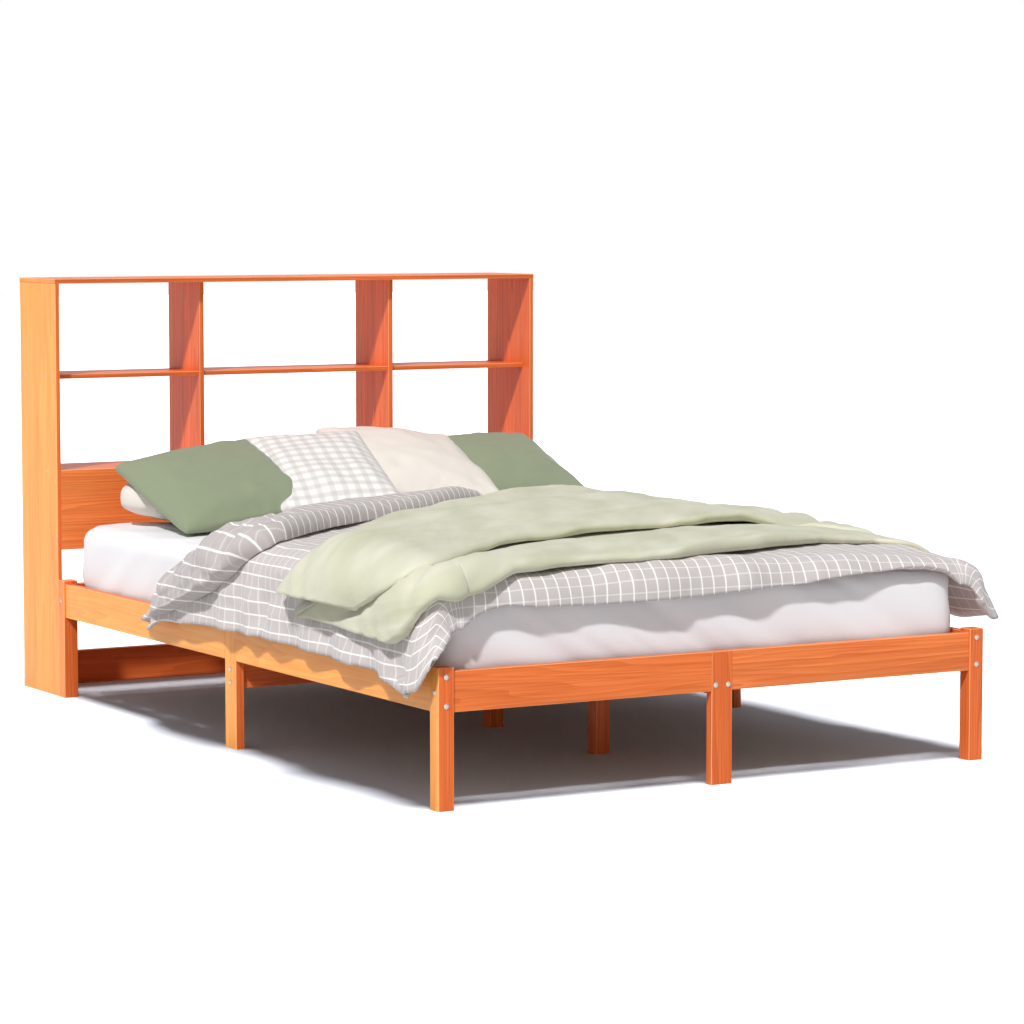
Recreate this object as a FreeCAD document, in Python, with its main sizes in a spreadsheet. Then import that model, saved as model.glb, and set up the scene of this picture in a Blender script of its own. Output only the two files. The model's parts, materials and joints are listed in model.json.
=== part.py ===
import FreeCAD, Part
import os
import re
import Sketcher
from FreeCAD import Placement, Rotation, Vector

# Bookcase headboard bed, 140 x 200 cm, in millimetres.
# Frame: x across the bed, y towards the bookcase, z up. The origin is on the floor under the
# middle centre leg, half way between the foot rail and the head rail.

os.makedirs("parts", exist_ok=True)
doc = FreeCAD.newDocument("bookcase_bed")

# ---------------------------------------------------------------- driving dimensions
DIMENSIONS = {
    # bed frame
    "bed_width": 1455,            # over the legs, and over the bookcase's side panels
    "beam_length": 2026,          # clear length from foot rail to head rail
    "leg_size": 38.5,             # square corner legs
    "leg_height": 310.5,
    "rail_thickness": 22,
    "rail_height": 89,
    "rail_bottom": 212.5,
    "rail_recess": 4.5,           # rails stand back from the legs' outer faces
    "post_width": 55,             # centre post between the two halves of the foot rail
    "mid_leg_width": 60,
    "cross_beam_height": 60,
    "cross_beam_thickness": 38,
    "centre_beam_width": 55,
    "centre_beam_height": 42,
    "centre_leg_size": 38.5,
    "slat_seat": 54.5,            # rail top down to the slats' underside
    "ledger_height": 30,
    "ledger_thickness": 18,
    "slat_width": 90,
    "slat_thickness": 12,
    "slat_play": 2,               # gap at each end of a slat
    "slat_end_gap": 45,           # corner leg to first slat
    "tape_width": 25,
    "tape_thickness": 1,
    "tape_offset": 350,           # tape's middle from the bed's middle
    "edge_ease": 1.2,             # chamfer on every worked edge
    # bookcase
    "bookcase_height": 1103,
    "bookcase_depth": 243,
    "panel_thickness": 12,
    "top_thickness": 12,
    "divider_thickness": 13.5,
    "divider_offset": 288.5,      # divider's middle from the bed's middle
    "divider_setback": 35,
    "divider_back_gap": 8.5,
    "shelf_thickness": 12,
    "shelf_setback": 5.5,         # shelf's front edge behind the dividers' front edges
    "shelf_level": 850.5,         # top face of the middle shelves
    "lower_level": 600,           # top face of the lower shelf and of the headboard panel
    "headboard_height": 211,
    "headboard_thickness": 22,
    "stretcher_height": 89,
    "stretcher_thickness": 20,
    # fasteners
    "bolt_head_radius": 6.75,
    "bolt_head_height": 3.2,
    "bolt_rim": 0.8,
    "bolt_dome_slope": 50,        # dome's side from the bolt's axis, in degrees
    "bolt_radius": 3,
    "bolt_length": 75,
    "bolt_end_room": 2,           # hole beyond the bolt's end
    "bolt_inset": 19.4,           # side rail's bolts from the leg's outer face
    "bolt_top_edge": 11.5,        # upper bolt below the rail's top
    "bolt_bottom_edge": 14.5,     # lower bolt above the rail's bottom
    "post_bolt_spacing": 33,
    "cross_bolt_spacing": 32,
    "nut_distance": 62,           # bolt's seat to the barrel nut's middle
    "nut_radius": 5,
    "nut_length": 12,
    "dowel_radius": 3,
    "dowel_length": 30,
    "dowel_edge": 24,             # dowels from a rail's long edges
    "dowel_board_depth": 8,       # dowel's short end in a 12 mm board
    "screw_radius": 2.2,
    "screw_head_radius": 4,
    "screw_head_height": 2.5,
    "screw_length": 50,
    "screw_edge": 30,             # screws from a board's edge
    "bore_play": 0.3,             # every hole is this much wider than what it holds
    # bedding
    "mattress_width": 1396,
    "mattress_height": 205,
    "mattress_play": 2.9,         # gap between the mattress's ends and the corner legs
    "mattress_corner": 60,
    "mattress_edge": 14,
    "hang_gap": 3.5,              # duvet's sides clear of the legs
    "duvet_wall": 19,             # duvet where it hangs beside the rails
    "duvet_loft": 46,             # duvet where it lies on the mattress, at its edges
    "duvet_crown": 10,            # extra height in the bed's middle
    "duvet_corner": 84,           # round of the duvet over the mattress's long edges
    "turndown_loft": 24,
    "throw_thickness": 11,
    "seam": 0.3,                  # gap between soft pieces that lie on each other
    "laid_length": 1999.95,       # mattress length that the bedding's stations are given for
}

# ---------------------------------------------------------------- places worked out from them
PLACES = {
    "side_face": "bed_width / 2",
    "rail_face": "side_face - rail_recess",
    "inner_side": "rail_face - rail_thickness",
    "head_rail_front": "beam_length / 2",
    "foot_rail_back": "0 - beam_length / 2",
    "foot_rail_front": "foot_rail_back - rail_thickness",
    "foot_leg_front": "foot_rail_front - rail_recess",
    "foot_leg_back": "foot_leg_front + leg_size",
    "head_rail_back": "head_rail_front + rail_thickness",
    "head_leg_front": "head_rail_front + rail_thickness / 2 - leg_size / 2",
    "head_leg_back": "head_leg_front + leg_size",
    "rail_top": "rail_bottom + rail_height",
    "beam_top": "rail_top - slat_seat",
    "beam_bottom": "beam_top - centre_beam_height",
    "cross_bottom": "beam_bottom - cross_beam_height",
    "slat_top": "beam_top + slat_thickness",
    "case_front": "head_leg_back",
    "case_back": "case_front + bookcase_depth",
    "case_inner": "side_face - panel_thickness",
    "top_underside": "bookcase_height - top_thickness",
    "divider_front": "case_front + divider_setback",
    "divider_back": "case_back - divider_back_gap",
    "divider_face": "divider_offset + divider_thickness / 2",
    "divider_inner": "divider_offset - divider_thickness / 2",
    "shelf_front": "divider_front + shelf_setback",
    "shelf_underside": "shelf_level - shelf_thickness",
    "lower_underside": "lower_level - shelf_thickness",
    "headboard_back": "case_front + headboard_thickness",
    "headboard_bottom": "lower_level - headboard_height",
    "stretcher_front": "case_back - stretcher_thickness",
    "mattress_foot": "foot_leg_back + mattress_play",
    "mattress_head": "head_leg_front - mattress_play",
    "mattress_top": "slat_top + mattress_height",
}

dims = doc.addObject("Spreadsheet::Sheet", "dims")
for row, (alias, number) in enumerate(DIMENSIONS.items(), start=1):
    dims.set(f"A{row}", alias)
    dims.set(f"B{row}", str(number))
    dims.setAlias(f"B{row}", alias)
doc.recompute()

places = doc.addObject("Spreadsheet::Sheet", "places")


def bound(text, own=""):
    """The formula with every alias written as a reference to the sheet that holds it."""

    def refer(match):
        word = match.group()
        if word in DIMENSIONS:
            return "dims." + word
        if word in PLACES:
            return own + word
        return word

    return re.sub(r"[a-z]\w*", refer, text)


for row, (alias, formula) in enumerate(PLACES.items(), start=1):
    places.set(f"A{row}", alias)
    places.set(f"B{row}", "=" + bound(formula))
    places.setAlias(f"B{row}", alias)
    doc.recompute()


def size(alias):
    """The number that a sheet holds now, for shapes that Part's functions make."""
    return float((dims if alias in DIMENSIONS else places).get(alias))


def bind(thing, path, formula):
    thing.setExpression(path, bound(formula, "places."))


# ---------------------------------------------------------------- boards
PLANES = {"x": "YZ_Plane", "y": "XZ_Plane", "z": "XY_Plane"}
WAYS = {
    "+x": Vector(1, 0, 0), "-x": Vector(-1, 0, 0),
    "+y": Vector(0, 1, 0), "-y": Vector(0, -1, 0),
    "+z": Vector(0, 0, 1), "-z": Vector(0, 0, -1),
}  # fmt: skip
bodies = {}
corners = {}
cuts = []


def sketch_on(body, name, axis, offset="0"):
    """A sketch on the body's own origin plane across the axis, moved along it by the offset."""
    sketch = body.newObject("Sketcher::SketchObject", name)
    plane = next(f for f in body.Origin.OriginFeatures if f.Role == PLANES[axis])
    sketch.AttachmentSupport = [(plane, "")]
    sketch.MapMode = "FlatFace"
    if offset != "0":
        # the plane across y faces towards -y, so its offset counts the other way
        sign = "0 - " if axis == "y" else ""
        bind(sketch, "AttachmentOffset.Base.z", f"{sign}({offset})")
    return sketch


def dimension(sketch, name, kind, where, formula):
    number = sketch.addConstraint(Sketcher.Constraint(kind, *where, 10.0))
    sketch.renameConstraint(number, name)
    bind(sketch, "Constraints." + name, formula)


def draw_rectangle(sketch, width, depth):
    """A rectangle with one corner on the sketch's origin."""
    points = [Vector(0, 0, 0), Vector(10, 0, 0), Vector(10, 10, 0), Vector(0, 10, 0)]
    for i in range(4):
        sketch.addGeometry(Part.LineSegment(points[i], points[(i + 1) % 4]))
    for i in range(4):
        sketch.addConstraint(Sketcher.Constraint("Coincident", i, 2, (i + 1) % 4, 1))
        sketch.addConstraint(Sketcher.Constraint("Vertical" if i % 2 else "Horizontal", i))
    sketch.addConstraint(Sketcher.Constraint("Coincident", 0, 1, -1, 1))
    dimension(sketch, "width", "DistanceX", (0, 1, 0, 2), width)
    dimension(sketch, "depth", "DistanceY", (1, 1, 1, 2), depth)


def draw_polygon(sketch, sides, radius):
    """A regular polygon about the sketch's origin, one corner on the sketch's first axis."""
    corner = [Rotation(Vector(0, 0, 1), 360 * i / sides) for i in range(sides)]
    points = [turn.multVec(Vector(10, 0, 0)) for turn in corner]
    for i in range(sides):
        sketch.addGeometry(Part.LineSegment(points[i], points[(i + 1) % sides]))
    sketch.addGeometry(Part.Circle(Vector(0, 0, 0), Vector(0, 0, 1), 10), True)
    for i in range(sides):
        sketch.addConstraint(Sketcher.Constraint("Coincident", i, 2, (i + 1) % sides, 1))
        sketch.addConstraint(Sketcher.Constraint("PointOnObject", i, 1, sides))
    for i in range(1, sides):
        sketch.addConstraint(Sketcher.Constraint("Equal", 0, i))
    sketch.addConstraint(Sketcher.Constraint("PointOnObject", 0, 1, -1))
    sketch.addConstraint(Sketcher.Constraint("Coincident", sides, 3, -1, 1))
    dimension(sketch, "radius", "Radius", (sides,), radius)


def prism(body, kind, name, start, rotation, radius, length, sides):
    """A many-sided rod in a body, added to it or cut from it, up its own turned z axis."""
    rod = body.newObject(f"PartDesign::{kind}Prism", name)
    rod.Polygon = sides
    bind(rod, "Circumradius", radius)
    bind(rod, "Height", length)
    rod.Placement = Placement(Vector(0, 0, 0), rotation)
    for axis, place in zip("xyz", start):
        bind(rod, "Placement.Base." + axis, place)
    return rod


def turn_to(way):
    return Rotation(Vector(0, 0, 1), WAYS[way])


def eased_edges(shape, directions):
    """Names of the straight edges along these axes; "top" adds the uppermost face's edges."""
    names = []
    high = shape.BoundBox.ZMax - 0.01
    for i, edge in enumerate(shape.Edges, start=1):
        run = edge.tangentAt(edge.FirstParameter)
        along = "xyz"[max(range(3), key=lambda k: abs(run[k]))]
        if along in directions or ("top" in directions and edge.BoundBox.ZMin > high):
            names.append(f"Edge{i}")
    return names


def board(label, extent, corner, ease):
    """A planed board: a padded rectangle from its lowest corner, with its worked edges eased."""
    body = doc.addObject("PartDesign::Body", label)
    outline = sketch_on(body, label + "_outline", "z")
    draw_rectangle(outline, extent[0], extent[1])
    pad = body.newObject("PartDesign::Pad", label + "_pad")
    pad.Profile = outline
    bind(pad, "Length", extent[2])
    doc.recompute()
    chamfer = body.newObject("PartDesign::Chamfer", label + "_eased")
    chamfer.Base = (pad, eased_edges(pad.Shape, ease))
    bind(chamfer, "Size", "edge_ease")
    for axis, place in zip("xyz", corner):
        bind(body, "Placement.Base." + axis, place)
    bodies[label] = body
    corners[label] = corner
    return body


def drill(label, rotation, spots, radius, depth):
    """Equal holes in a board, each from a place of the whole bed up the turned z axis."""
    for spot in spots:
        local = [f"({place}) - ({low})" for place, low in zip(spot, corners[label])]
        name = f"{label}_hole_{len(cuts) + 1}"
        cuts.append(prism(bodies[label], "Subtractive", name, local, rotation, radius, depth, SIDES))


def at_side(side, outer, width):
    """Lowest x of a board whose outer face stands at this distance from the middle."""
    return f"0 - ({outer})" if side == "left" else f"{outer} - ({width})"


def signed(side, distance):
    return f"0 - ({distance})" if side == "left" else f"{distance}"


def inward(side):
    return "+x" if side == "left" else "-x"


# ---------------------------------------------------------------- bed frame
def make_frame():
    half_rail = "0 - mid_leg_width / 2 - foot_leg_back"
    head_half = "head_leg_front - mid_leg_width / 2"
    for side in ("left", "right"):
        legs = ("leg_size", "leg_size", "leg_height")
        leg_x = at_side(side, "side_face", "leg_size")
        board(f"foot_leg_{side}", legs, (leg_x, "foot_leg_front", "0"), ("z", "top"))
        board(f"head_leg_{side}", legs, (leg_x, "head_leg_front", "0"), ("z", "top"))
        mid = ("rail_thickness", "mid_leg_width", "rail_top")
        rail_x = at_side(side, "rail_face", "rail_thickness")
        board(f"mid_leg_{side}", mid, (rail_x, "0 - mid_leg_width / 2", "0"), ("z",))
        ledger_x = at_side(side, "inner_side", "ledger_thickness")
        for end, run, start in (
            ("foot", half_rail, "foot_leg_back"),
            ("head", head_half, "mid_leg_width / 2"),
        ):
            rail = ("rail_thickness", run, "rail_height")
            board(f"side_rail_{side}_{end}", rail, (rail_x, start, "rail_bottom"), ("y",))
            ledger = ("ledger_thickness", run, "ledger_height")
            ledger_at = (ledger_x, start, "beam_top - ledger_height")
            board(f"ledger_{side}_{end}", ledger, ledger_at, ("y",))
        foot_run = "side_face - leg_size - post_width / 2"
        foot_x = signed(side, "side_face - leg_size") if side == "left" else "post_width / 2"
        foot = (foot_run, "rail_thickness", "rail_height")
        board(f"foot_rail_{side}", foot, (foot_x, "foot_rail_front", "rail_bottom"), ("x",))

    post = ("post_width", "rail_thickness", "rail_top")
    board("foot_centre_post", post, ("0 - post_width / 2", "foot_rail_front", "0"), ("z", "top"))
    head = ("2 * (side_face - leg_size)", "rail_thickness", "rail_height")
    head_at = ("leg_size - side_face", "head_rail_front", "rail_bottom")
    board("head_rail", head, head_at, ("x",))
    cross = ("2 * inner_side", "cross_beam_thickness", "cross_beam_height")
    cross_at = ("0 - inner_side", "0 - cross_beam_thickness / 2", "cross_bottom")
    board("cross_beam", cross, cross_at, ("x",))
    for end, start in (("foot", "foot_rail_back"), ("head", "0")):
        beam = ("centre_beam_width", "beam_length / 2", "centre_beam_height")
        beam_at = ("0 - centre_beam_width / 2", start, "beam_bottom")
        board(f"centre_beam_{end}", beam, beam_at, ("y",))
    for end, middle, top in (
        ("foot", "0 - beam_length / 4", "beam_bottom"),
        ("middle", "0", "cross_bottom"),
        ("head", "beam_length / 4", "beam_bottom"),
    ):
        leg = ("centre_leg_size", "centre_leg_size", top)
        leg_at = ("0 - centre_leg_size / 2", f"{middle} - centre_leg_size / 2", "0")
        board(f"centre_leg_{end}", leg, leg_at, ("z",))


SLAT_COUNT = 12


def make_slats():
    pitch = f"(head_leg_front - foot_leg_back - 2 * slat_end_gap - slat_width) / {SLAT_COUNT - 1}"
    slat = ("2 * (inner_side - slat_play)", "slat_width", "slat_thickness")
    for i in range(SLAT_COUNT):
        start = f"foot_leg_back + slat_end_gap + {i} * {pitch}"
        board(f"slat_{i + 1:02d}", slat, ("slat_play - inner_side", start, "beam_top"), ("x",))
    tapes = []
    for side in ("left", "right"):
        tape = doc.addObject("Part::Box", f"tape_{side}")
        bind(tape, "Length", "tape_width")
        bind(tape, "Width", "head_leg_front - foot_leg_back - 2 * slat_end_gap")
        bind(tape, "Height", "tape_thickness")
        bind(tape, "Placement.Base.x", signed(side, "tape_offset") + " - tape_width / 2")
        bind(tape, "Placement.Base.y", "foot_leg_back + slat_end_gap")
        bind(tape, "Placement.Base.z", "beam_top - tape_thickness")
        tapes.append(tape)
    group = doc.addObject("Part::Compound", "slat_tapes")
    group.Links = tapes
    bodies["slat_tapes"] = group


# ---------------------------------------------------------------- bookcase
def make_bookcase():
    for side in ("left", "right"):
        panel = ("panel_thickness", "bookcase_depth", "top_underside")
        panel_x = at_side(side, "side_face", "panel_thickness")
        board(f"side_panel_{side}", panel, (panel_x, "case_front", "0"), ("z",))
        upright = ("divider_thickness", "divider_back - divider_front", "top_underside - lower_level")
        upright_x = at_side(side, "divider_face", "divider_thickness")
        board(f"divider_{side}", upright, (upright_x, "divider_front", "lower_level"), ("z",))
        outer = ("case_inner - divider_face", "divider_back - shelf_front", "shelf_thickness")
        outer_x = "0 - case_inner" if side == "left" else "divider_face"
        board(f"mid_shelf_{side}", outer, (outer_x, "shelf_front", "shelf_underside"), ("x",))
    centre = ("2 * divider_inner", "divider_back - shelf_front", "shelf_thickness")
    centre_at = ("0 - divider_inner", "shelf_front", "shelf_underside")
    board("mid_shelf_centre", centre, centre_at, ("x",))
    top = ("bed_width", "bookcase_depth", "top_thickness")
    board("top_board", top, ("0 - side_face", "case_front", "top_underside"), ("x", "y"))
    lower = ("2 * case_inner", "divider_back - headboard_back", "shelf_thickness")
    board("lower_shelf", lower, ("0 - case_inner", "headboard_back", "lower_underside"), ("x",))
    panel = ("2 * case_inner", "headboard_thickness", "headboard_height")
    board("headboard_panel", panel, ("0 - case_inner", "case_front", "headboard_bottom"), ("x",))
    stretcher = ("2 * case_inner", "stretcher_thickness", "stretcher_height")
    board("back_stretcher", stretcher, ("0 - case_inner", "stretcher_front", "0"), ("x",))


# ---------------------------------------------------------------- fasteners
SIDES = 6         # holes, shanks and dowels have few sides, because they repeat so often
HEAD_SIDES = 8    # the bolts' heads show, so they are rounder
ORIGIN = ("0", "0", "0")
UPRIGHT = Rotation()


def make_bolt_form():
    """Dome-head bolt: its seat on the origin, head below, shank up the axis."""
    body = doc.addObject("PartDesign::Body", "bolt_form")
    prism(body, "Additive", "bolt_shank", ORIGIN, UPRIGHT, "bolt_radius", "bolt_length", SIDES)
    rim = ("0", "0", "0 - bolt_rim")
    wide = "bolt_head_radius"
    prism(body, "Additive", "bolt_rim_disc", rim, UPRIGHT, wide, "bolt_rim", HEAD_SIDES)
    outline = sketch_on(body, "dome_outline", "z", "0 - bolt_rim")
    draw_polygon(outline, HEAD_SIDES, wide)
    dome = body.newObject("PartDesign::Pad", "bolt_dome")
    dome.Profile = outline
    dome.Reversed = True
    bind(dome, "Length", "bolt_head_height - bolt_rim")
    bind(dome, "TaperAngle", "0 - bolt_dome_slope")
    return body


def make_screw_form():
    """Flat-head screw: its head flush with the board's face, shank up the axis."""
    body = doc.addObject("PartDesign::Body", "screw_form")
    wide = ("screw_head_radius", "screw_head_height")
    prism(body, "Additive", "screw_head", ORIGIN, UPRIGHT, *wide, SIDES)
    prism(body, "Additive", "screw_shank", ORIGIN, UPRIGHT, "screw_radius", "screw_length", SIDES)
    return body


def make_dowel_form():
    body = doc.addObject("PartDesign::Body", "dowel_form")
    prism(body, "Additive", "dowel_rod", ORIGIN, UPRIGHT, "dowel_radius", "dowel_length", SIDES)
    return body


def make_nut_form():
    """Barrel nut: a short rod about its own middle, bored across for the bolt."""
    body = doc.addObject("PartDesign::Body", "nut_form")
    end = ("0", "0", "0 - nut_length / 2")
    prism(body, "Additive", "nut_rod", end, UPRIGHT, "nut_radius", "nut_length", SIDES)
    side = ("0", "0 - nut_radius - bore_play", "0")
    bore = ("bolt_radius + bore_play", "2 * (nut_radius + bore_play)")
    cuts.append(prism(body, "Subtractive", "nut_bore", side, turn_to("+y"), *bore, SIDES))
    return body


links = {"frame_bolts": [], "barrel_nuts": [], "dowels": [], "bookcase_screws": []}
forms = {}


def place_link(group, form, spot, rotation):
    link = doc.addObject("App::Link", f"{group}_{len(links[group]) + 1}")
    link.LinkedObject = form
    link.Placement = Placement(Vector(0, 0, 0), rotation)
    for axis, place in zip("xyz", spot):
        bind(link, "Placement.Base." + axis, place)
    links[group].append(link)


def along(spot, way, distance):
    """The place this far from the spot on the way given."""
    moved = list(spot)
    i = "xyz".index(way[1])
    moved[i] = f"{spot[i]} {way[0]} ({distance})"
    return tuple(moved)


def bolt(spots, way, through, into, nut_way, nut_depth):
    """Bolts from their seats through one board into the end of another, each with a barrel nut.

    The nut's hole starts on the board's face and runs the nut's way; nut_depth is from that
    face to the bolt's axis.
    """
    nut_turn = Rotation(Vector(), WAYS[way], WAYS[nut_way], "ZYX")
    bolt_turn = nut_turn * turn_to("+y")
    hole = ("bolt_radius + bore_play", "bolt_length + bolt_end_room")
    drill(through, bolt_turn, spots, *hole)
    drill(into, bolt_turn, spots, *hole)
    back = ("-" if nut_way[0] == "+" else "+") + nut_way[1]
    mouths = []
    for spot in spots:
        place_link("frame_bolts", forms["bolt"], spot, bolt_turn)
        middle = along(spot, way, "nut_distance")
        mouths.append(along(middle, back, nut_depth))
        place_link("barrel_nuts", forms["nut"], middle, nut_turn)
    depth = f"{nut_depth} + nut_length / 2 + bore_play"
    drill(into, nut_turn, mouths, "nut_radius + bore_play", depth)


def dowel(spots, way, first, second, into_first="dowel_length / 2", between=None):
    """Dowels across a joint: into_first is how far each reaches back into the first board."""
    back = ("-" if way[0] == "+" else "+") + way[1]
    starts = [along(spot, back, into_first) for spot in spots]
    for start in starts:
        place_link("dowels", forms["dowel"], start, turn_to(way))
    mouths = [along(start, back, "bore_play") for start in starts]
    hole = ("dowel_radius + bore_play", "dowel_length + 2 * bore_play")
    for label in (first, second, between):
        if label:
            drill(label, turn_to(way), mouths, *hole)


def screw(spots, way, through, into):
    """Screws sunk flush in one board and run into the end of another."""
    for spot in spots:
        place_link("bookcase_screws", forms["screw"], spot, turn_to(way))
    sink = ("screw_head_radius + bore_play", "screw_head_height + bore_play")
    drill(through, turn_to(way), spots, *sink)
    hole = ("screw_radius + bore_play", "screw_length + 2 * bore_play")
    for label in (through, into):
        drill(label, turn_to(way), spots, *hole)


def fasten_frame():
    high = "rail_top - bolt_top_edge"
    low = "rail_bottom + bolt_bottom_edge"
    rail_middle = "rail_bottom + rail_height / 2"
    foot_middle = "foot_rail_front + rail_thickness / 2"
    head_middle = "head_rail_front + rail_thickness / 2"
    beam_middle = "beam_bottom + centre_beam_height / 2"
    cross_middle = "cross_bottom + cross_beam_height / 2"
    edges = ("rail_bottom + dowel_edge", "rail_top - dowel_edge")
    for side in ("left", "right"):
        outward = "-x" if side == "left" else "+x"
        line = signed(side, "side_face - bolt_inset")
        reach = "rail_recess + rail_thickness - bolt_inset"
        for end, leg, front, way in (
            ("foot", "foot_leg", "foot_leg_front", "+y"),
            ("head", "head_leg", "head_leg_back", "-y"),
        ):
            spots = [(line, front, level) for level in (high, low)]
            bolt(spots, way, f"{leg}_{side}", f"side_rail_{side}_{end}", outward, reach)
        seat = signed(side, "side_face")
        half = "rail_thickness / 2"
        foot_spot = [(seat, foot_middle, rail_middle)]
        bolt(foot_spot, inward(side), f"foot_leg_{side}", f"foot_rail_{side}", "-y", half)
        head_spot = [(seat, head_middle, rail_middle)]
        bolt(head_spot, inward(side), f"head_leg_{side}", "head_rail", "+y", half)
        seat = signed(side, "rail_face")
        spots = [(seat, "0", f"{cross_middle} {s} cross_bolt_spacing / 2") for s in "+-"]
        thickness = "cross_beam_thickness / 2"
        bolt(spots, inward(side), f"mid_leg_{side}", "cross_beam", "-y", thickness)
        beam_line = signed(side, "post_bolt_spacing / 2")
        reach = "centre_beam_width / 2 - post_bolt_spacing / 2"
        for end, board_name, front, way in (
            ("foot", "foot_centre_post", "foot_rail_front", "+y"),
            ("head", "head_rail", "head_rail_back", "-y"),
        ):
            spots = [(beam_line, front, beam_middle)]
            bolt(spots, way, board_name, f"centre_beam_{end}", inward(side), reach)
        line = signed(side, "rail_face - rail_thickness / 2")
        for end, joint, way in (("foot", "0 - mid_leg_width / 2", "+y"),
                                ("head", "mid_leg_width / 2", "-y")):
            spots = [(line, joint, level) for level in edges]
            dowel(spots, way, f"side_rail_{side}_{end}", f"mid_leg_{side}")
        spots = [(signed(side, "post_width / 2"), foot_middle, level) for level in edges]
        dowel(spots, inward(side), f"foot_rail_{side}", "foot_centre_post")
    for end, middle in (("foot", "0 - beam_length / 4"), ("head", "beam_length / 4")):
        dowel([("0", middle, "beam_bottom")], "+z", f"centre_leg_{end}", f"centre_beam_{end}")
    dowel([("0", "0", "cross_bottom")], "+z", "centre_leg_middle", "cross_beam")
    for end, sign in (("foot", "0 -"), ("head", "")):
        pin = [("0", f"{sign} cross_beam_thickness / 4", "beam_bottom")]
        dowel(pin, "+z", "cross_beam", f"centre_beam_{end}")


def fasten_bookcase():
    rows = ("divider_front + screw_edge", "divider_back - screw_edge")
    rest = "dowel_length - dowel_board_depth"
    for side in ("left", "right"):
        panel = f"side_panel_{side}"
        seat = signed(side, "side_face")
        way = inward(side)
        shelf_middle = "shelf_level - shelf_thickness / 2"
        screw([(seat, row, shelf_middle) for row in rows], way, panel, f"mid_shelf_{side}")
        low_middle = "lower_level - shelf_thickness / 2"
        screw([(seat, row, low_middle) for row in rows], way, panel, "lower_shelf")
        board_middle = "case_front + headboard_thickness / 2"
        levels = ("lower_level - screw_edge", "headboard_bottom + screw_edge")
        screw([(seat, board_middle, z) for z in levels], way, panel, "headboard_panel")
        stretcher_middle = "case_back - stretcher_thickness / 2"
        levels = ("screw_edge", "stretcher_height - screw_edge")
        screw([(seat, stretcher_middle, z) for z in levels], way, panel, "back_stretcher")
        panel_line = signed(side, "side_face - panel_thickness / 2")
        divider_line = signed(side, "divider_offset")
        panel_pins = [(panel_line, row, "top_underside") for row in rows]
        dowel(panel_pins, "+z", panel, "top_board", rest)
        divider_pins = [(divider_line, row, "top_underside") for row in rows]
        dowel(divider_pins, "+z", f"divider_{side}", "top_board", rest)
        foot_pins = [(divider_line, row, "lower_level") for row in rows]
        dowel(foot_pins, "+z", "lower_shelf", f"divider_{side}", "dowel_board_depth")
        pins = [(divider_line, row, shelf_middle) for row in rows]
        dowel(pins, way, f"mid_shelf_{side}", "mid_shelf_centre", between=f"divider_{side}")


def group_fasteners():
    for group, copies in links.items():
        compound = doc.addObject("Part::Compound", group)
        compound.Links = copies
        bodies[group] = compound


make_frame()
make_slats()
make_bookcase()
forms["bolt"] = make_bolt_form()
forms["nut"] = make_nut_form()
forms["dowel"] = make_dowel_form()
forms["screw"] = make_screw_form()
fasten_frame()
fasten_bookcase()
group_fasteners()
doc.recompute()


# ---------------------------------------------------------------- bedding
def line(a, b):
    return Part.LineSegment(a, b).toShape()


def arc(a, b, c):
    return Part.Arc(a, b, c).toShape()


def polygon_prism(points, depth):
    """A closed polygon carried along a straight way."""
    face = Part.Face(Part.makePolygon(points + points[:1]))
    return face.extrude(depth)


def soft(label, shape):
    """A soft piece: its finished solid, set in the bed's frame."""
    feature = doc.addObject("Part::Feature", label)
    feature.Shape = shape.Solids[0] if len(shape.Solids) == 1 else shape
    feature.Placement = Placement(Vector(0, 0, 0), Rotation())
    bodies[label] = feature
    return feature


def make_mattress():
    """A foam block with round corners and soft edges, resting flat on the slats."""
    body = doc.addObject("PartDesign::Body", "mattress")
    outline = sketch_on(body, "mattress_outline", "z")
    draw_rectangle(outline, "mattress_width", "mattress_head - mattress_foot")
    pad = body.newObject("PartDesign::Pad", "mattress_pad")
    pad.Profile = outline
    bind(pad, "Length", "mattress_height")
    doc.recompute()
    rounded = body.newObject("PartDesign::Fillet", "mattress_corners")
    rounded.Base = (pad, eased_edges(pad.Shape, ("z",)))
    bind(rounded, "Radius", "mattress_corner")
    doc.recompute()
    high = rounded.Shape.BoundBox.ZMax - 0.01
    rims = [
        f"Edge{i}"
        for i, edge in enumerate(rounded.Shape.Edges, start=1)
        if edge.BoundBox.ZMin > high or edge.BoundBox.ZMax < 0.01
    ]
    softened = body.newObject("PartDesign::Chamfer", "mattress_edges")
    softened.Base = (rounded, rims)
    bind(softened, "Size", "mattress_edge")
    bind(body, "Placement.Base.x", "0 - mattress_width / 2")
    bind(body, "Placement.Base.y", "mattress_foot")
    bind(body, "Placement.Base.z", "slat_top")
    bodies["mattress"] = body


# Stations along the bedding are measured from the mattress's foot face and spread with its length.
# Duvet: (station, left hem below the mattress top, right hem, hem's outward swing, drop of the top)
DUVET_STATIONS = (
    (-36, 128, 140, 0, 52),
    (-14, 152, 150, 6, 22),
    (53, 218, 178, 10, 6),
    (190, 184, 172, 0, 0),
    (420, 174, 160, 8, 0),
    (720, 170, 176, 1, 2),
    (1000, 172, 166, 9, 0),
    (1300, 190, 182, 2, 4),
    (1480, 205, 170, 8, 6),
    (1720, 200, 160, 2, 8),
)
# Foot hem: (distance from the middle, hem below the mattress top)
FOOT_HEM = (
    (-725, 146), (-682, 97), (-637, 61), (-563, 35), (-462, 24), (-309, 40), (-47, 46),
    (115, 37), (363, 24), (620, 22), (680, 60), (725, 140),
)  # fmt: skip
# Head end of the duvet, a slanting fold: its stations at the left and right sides, and its slant
FOLD_LEFT = 1466
FOLD_RIGHT = 1690
FOLD_SLANT = 0.15
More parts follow.
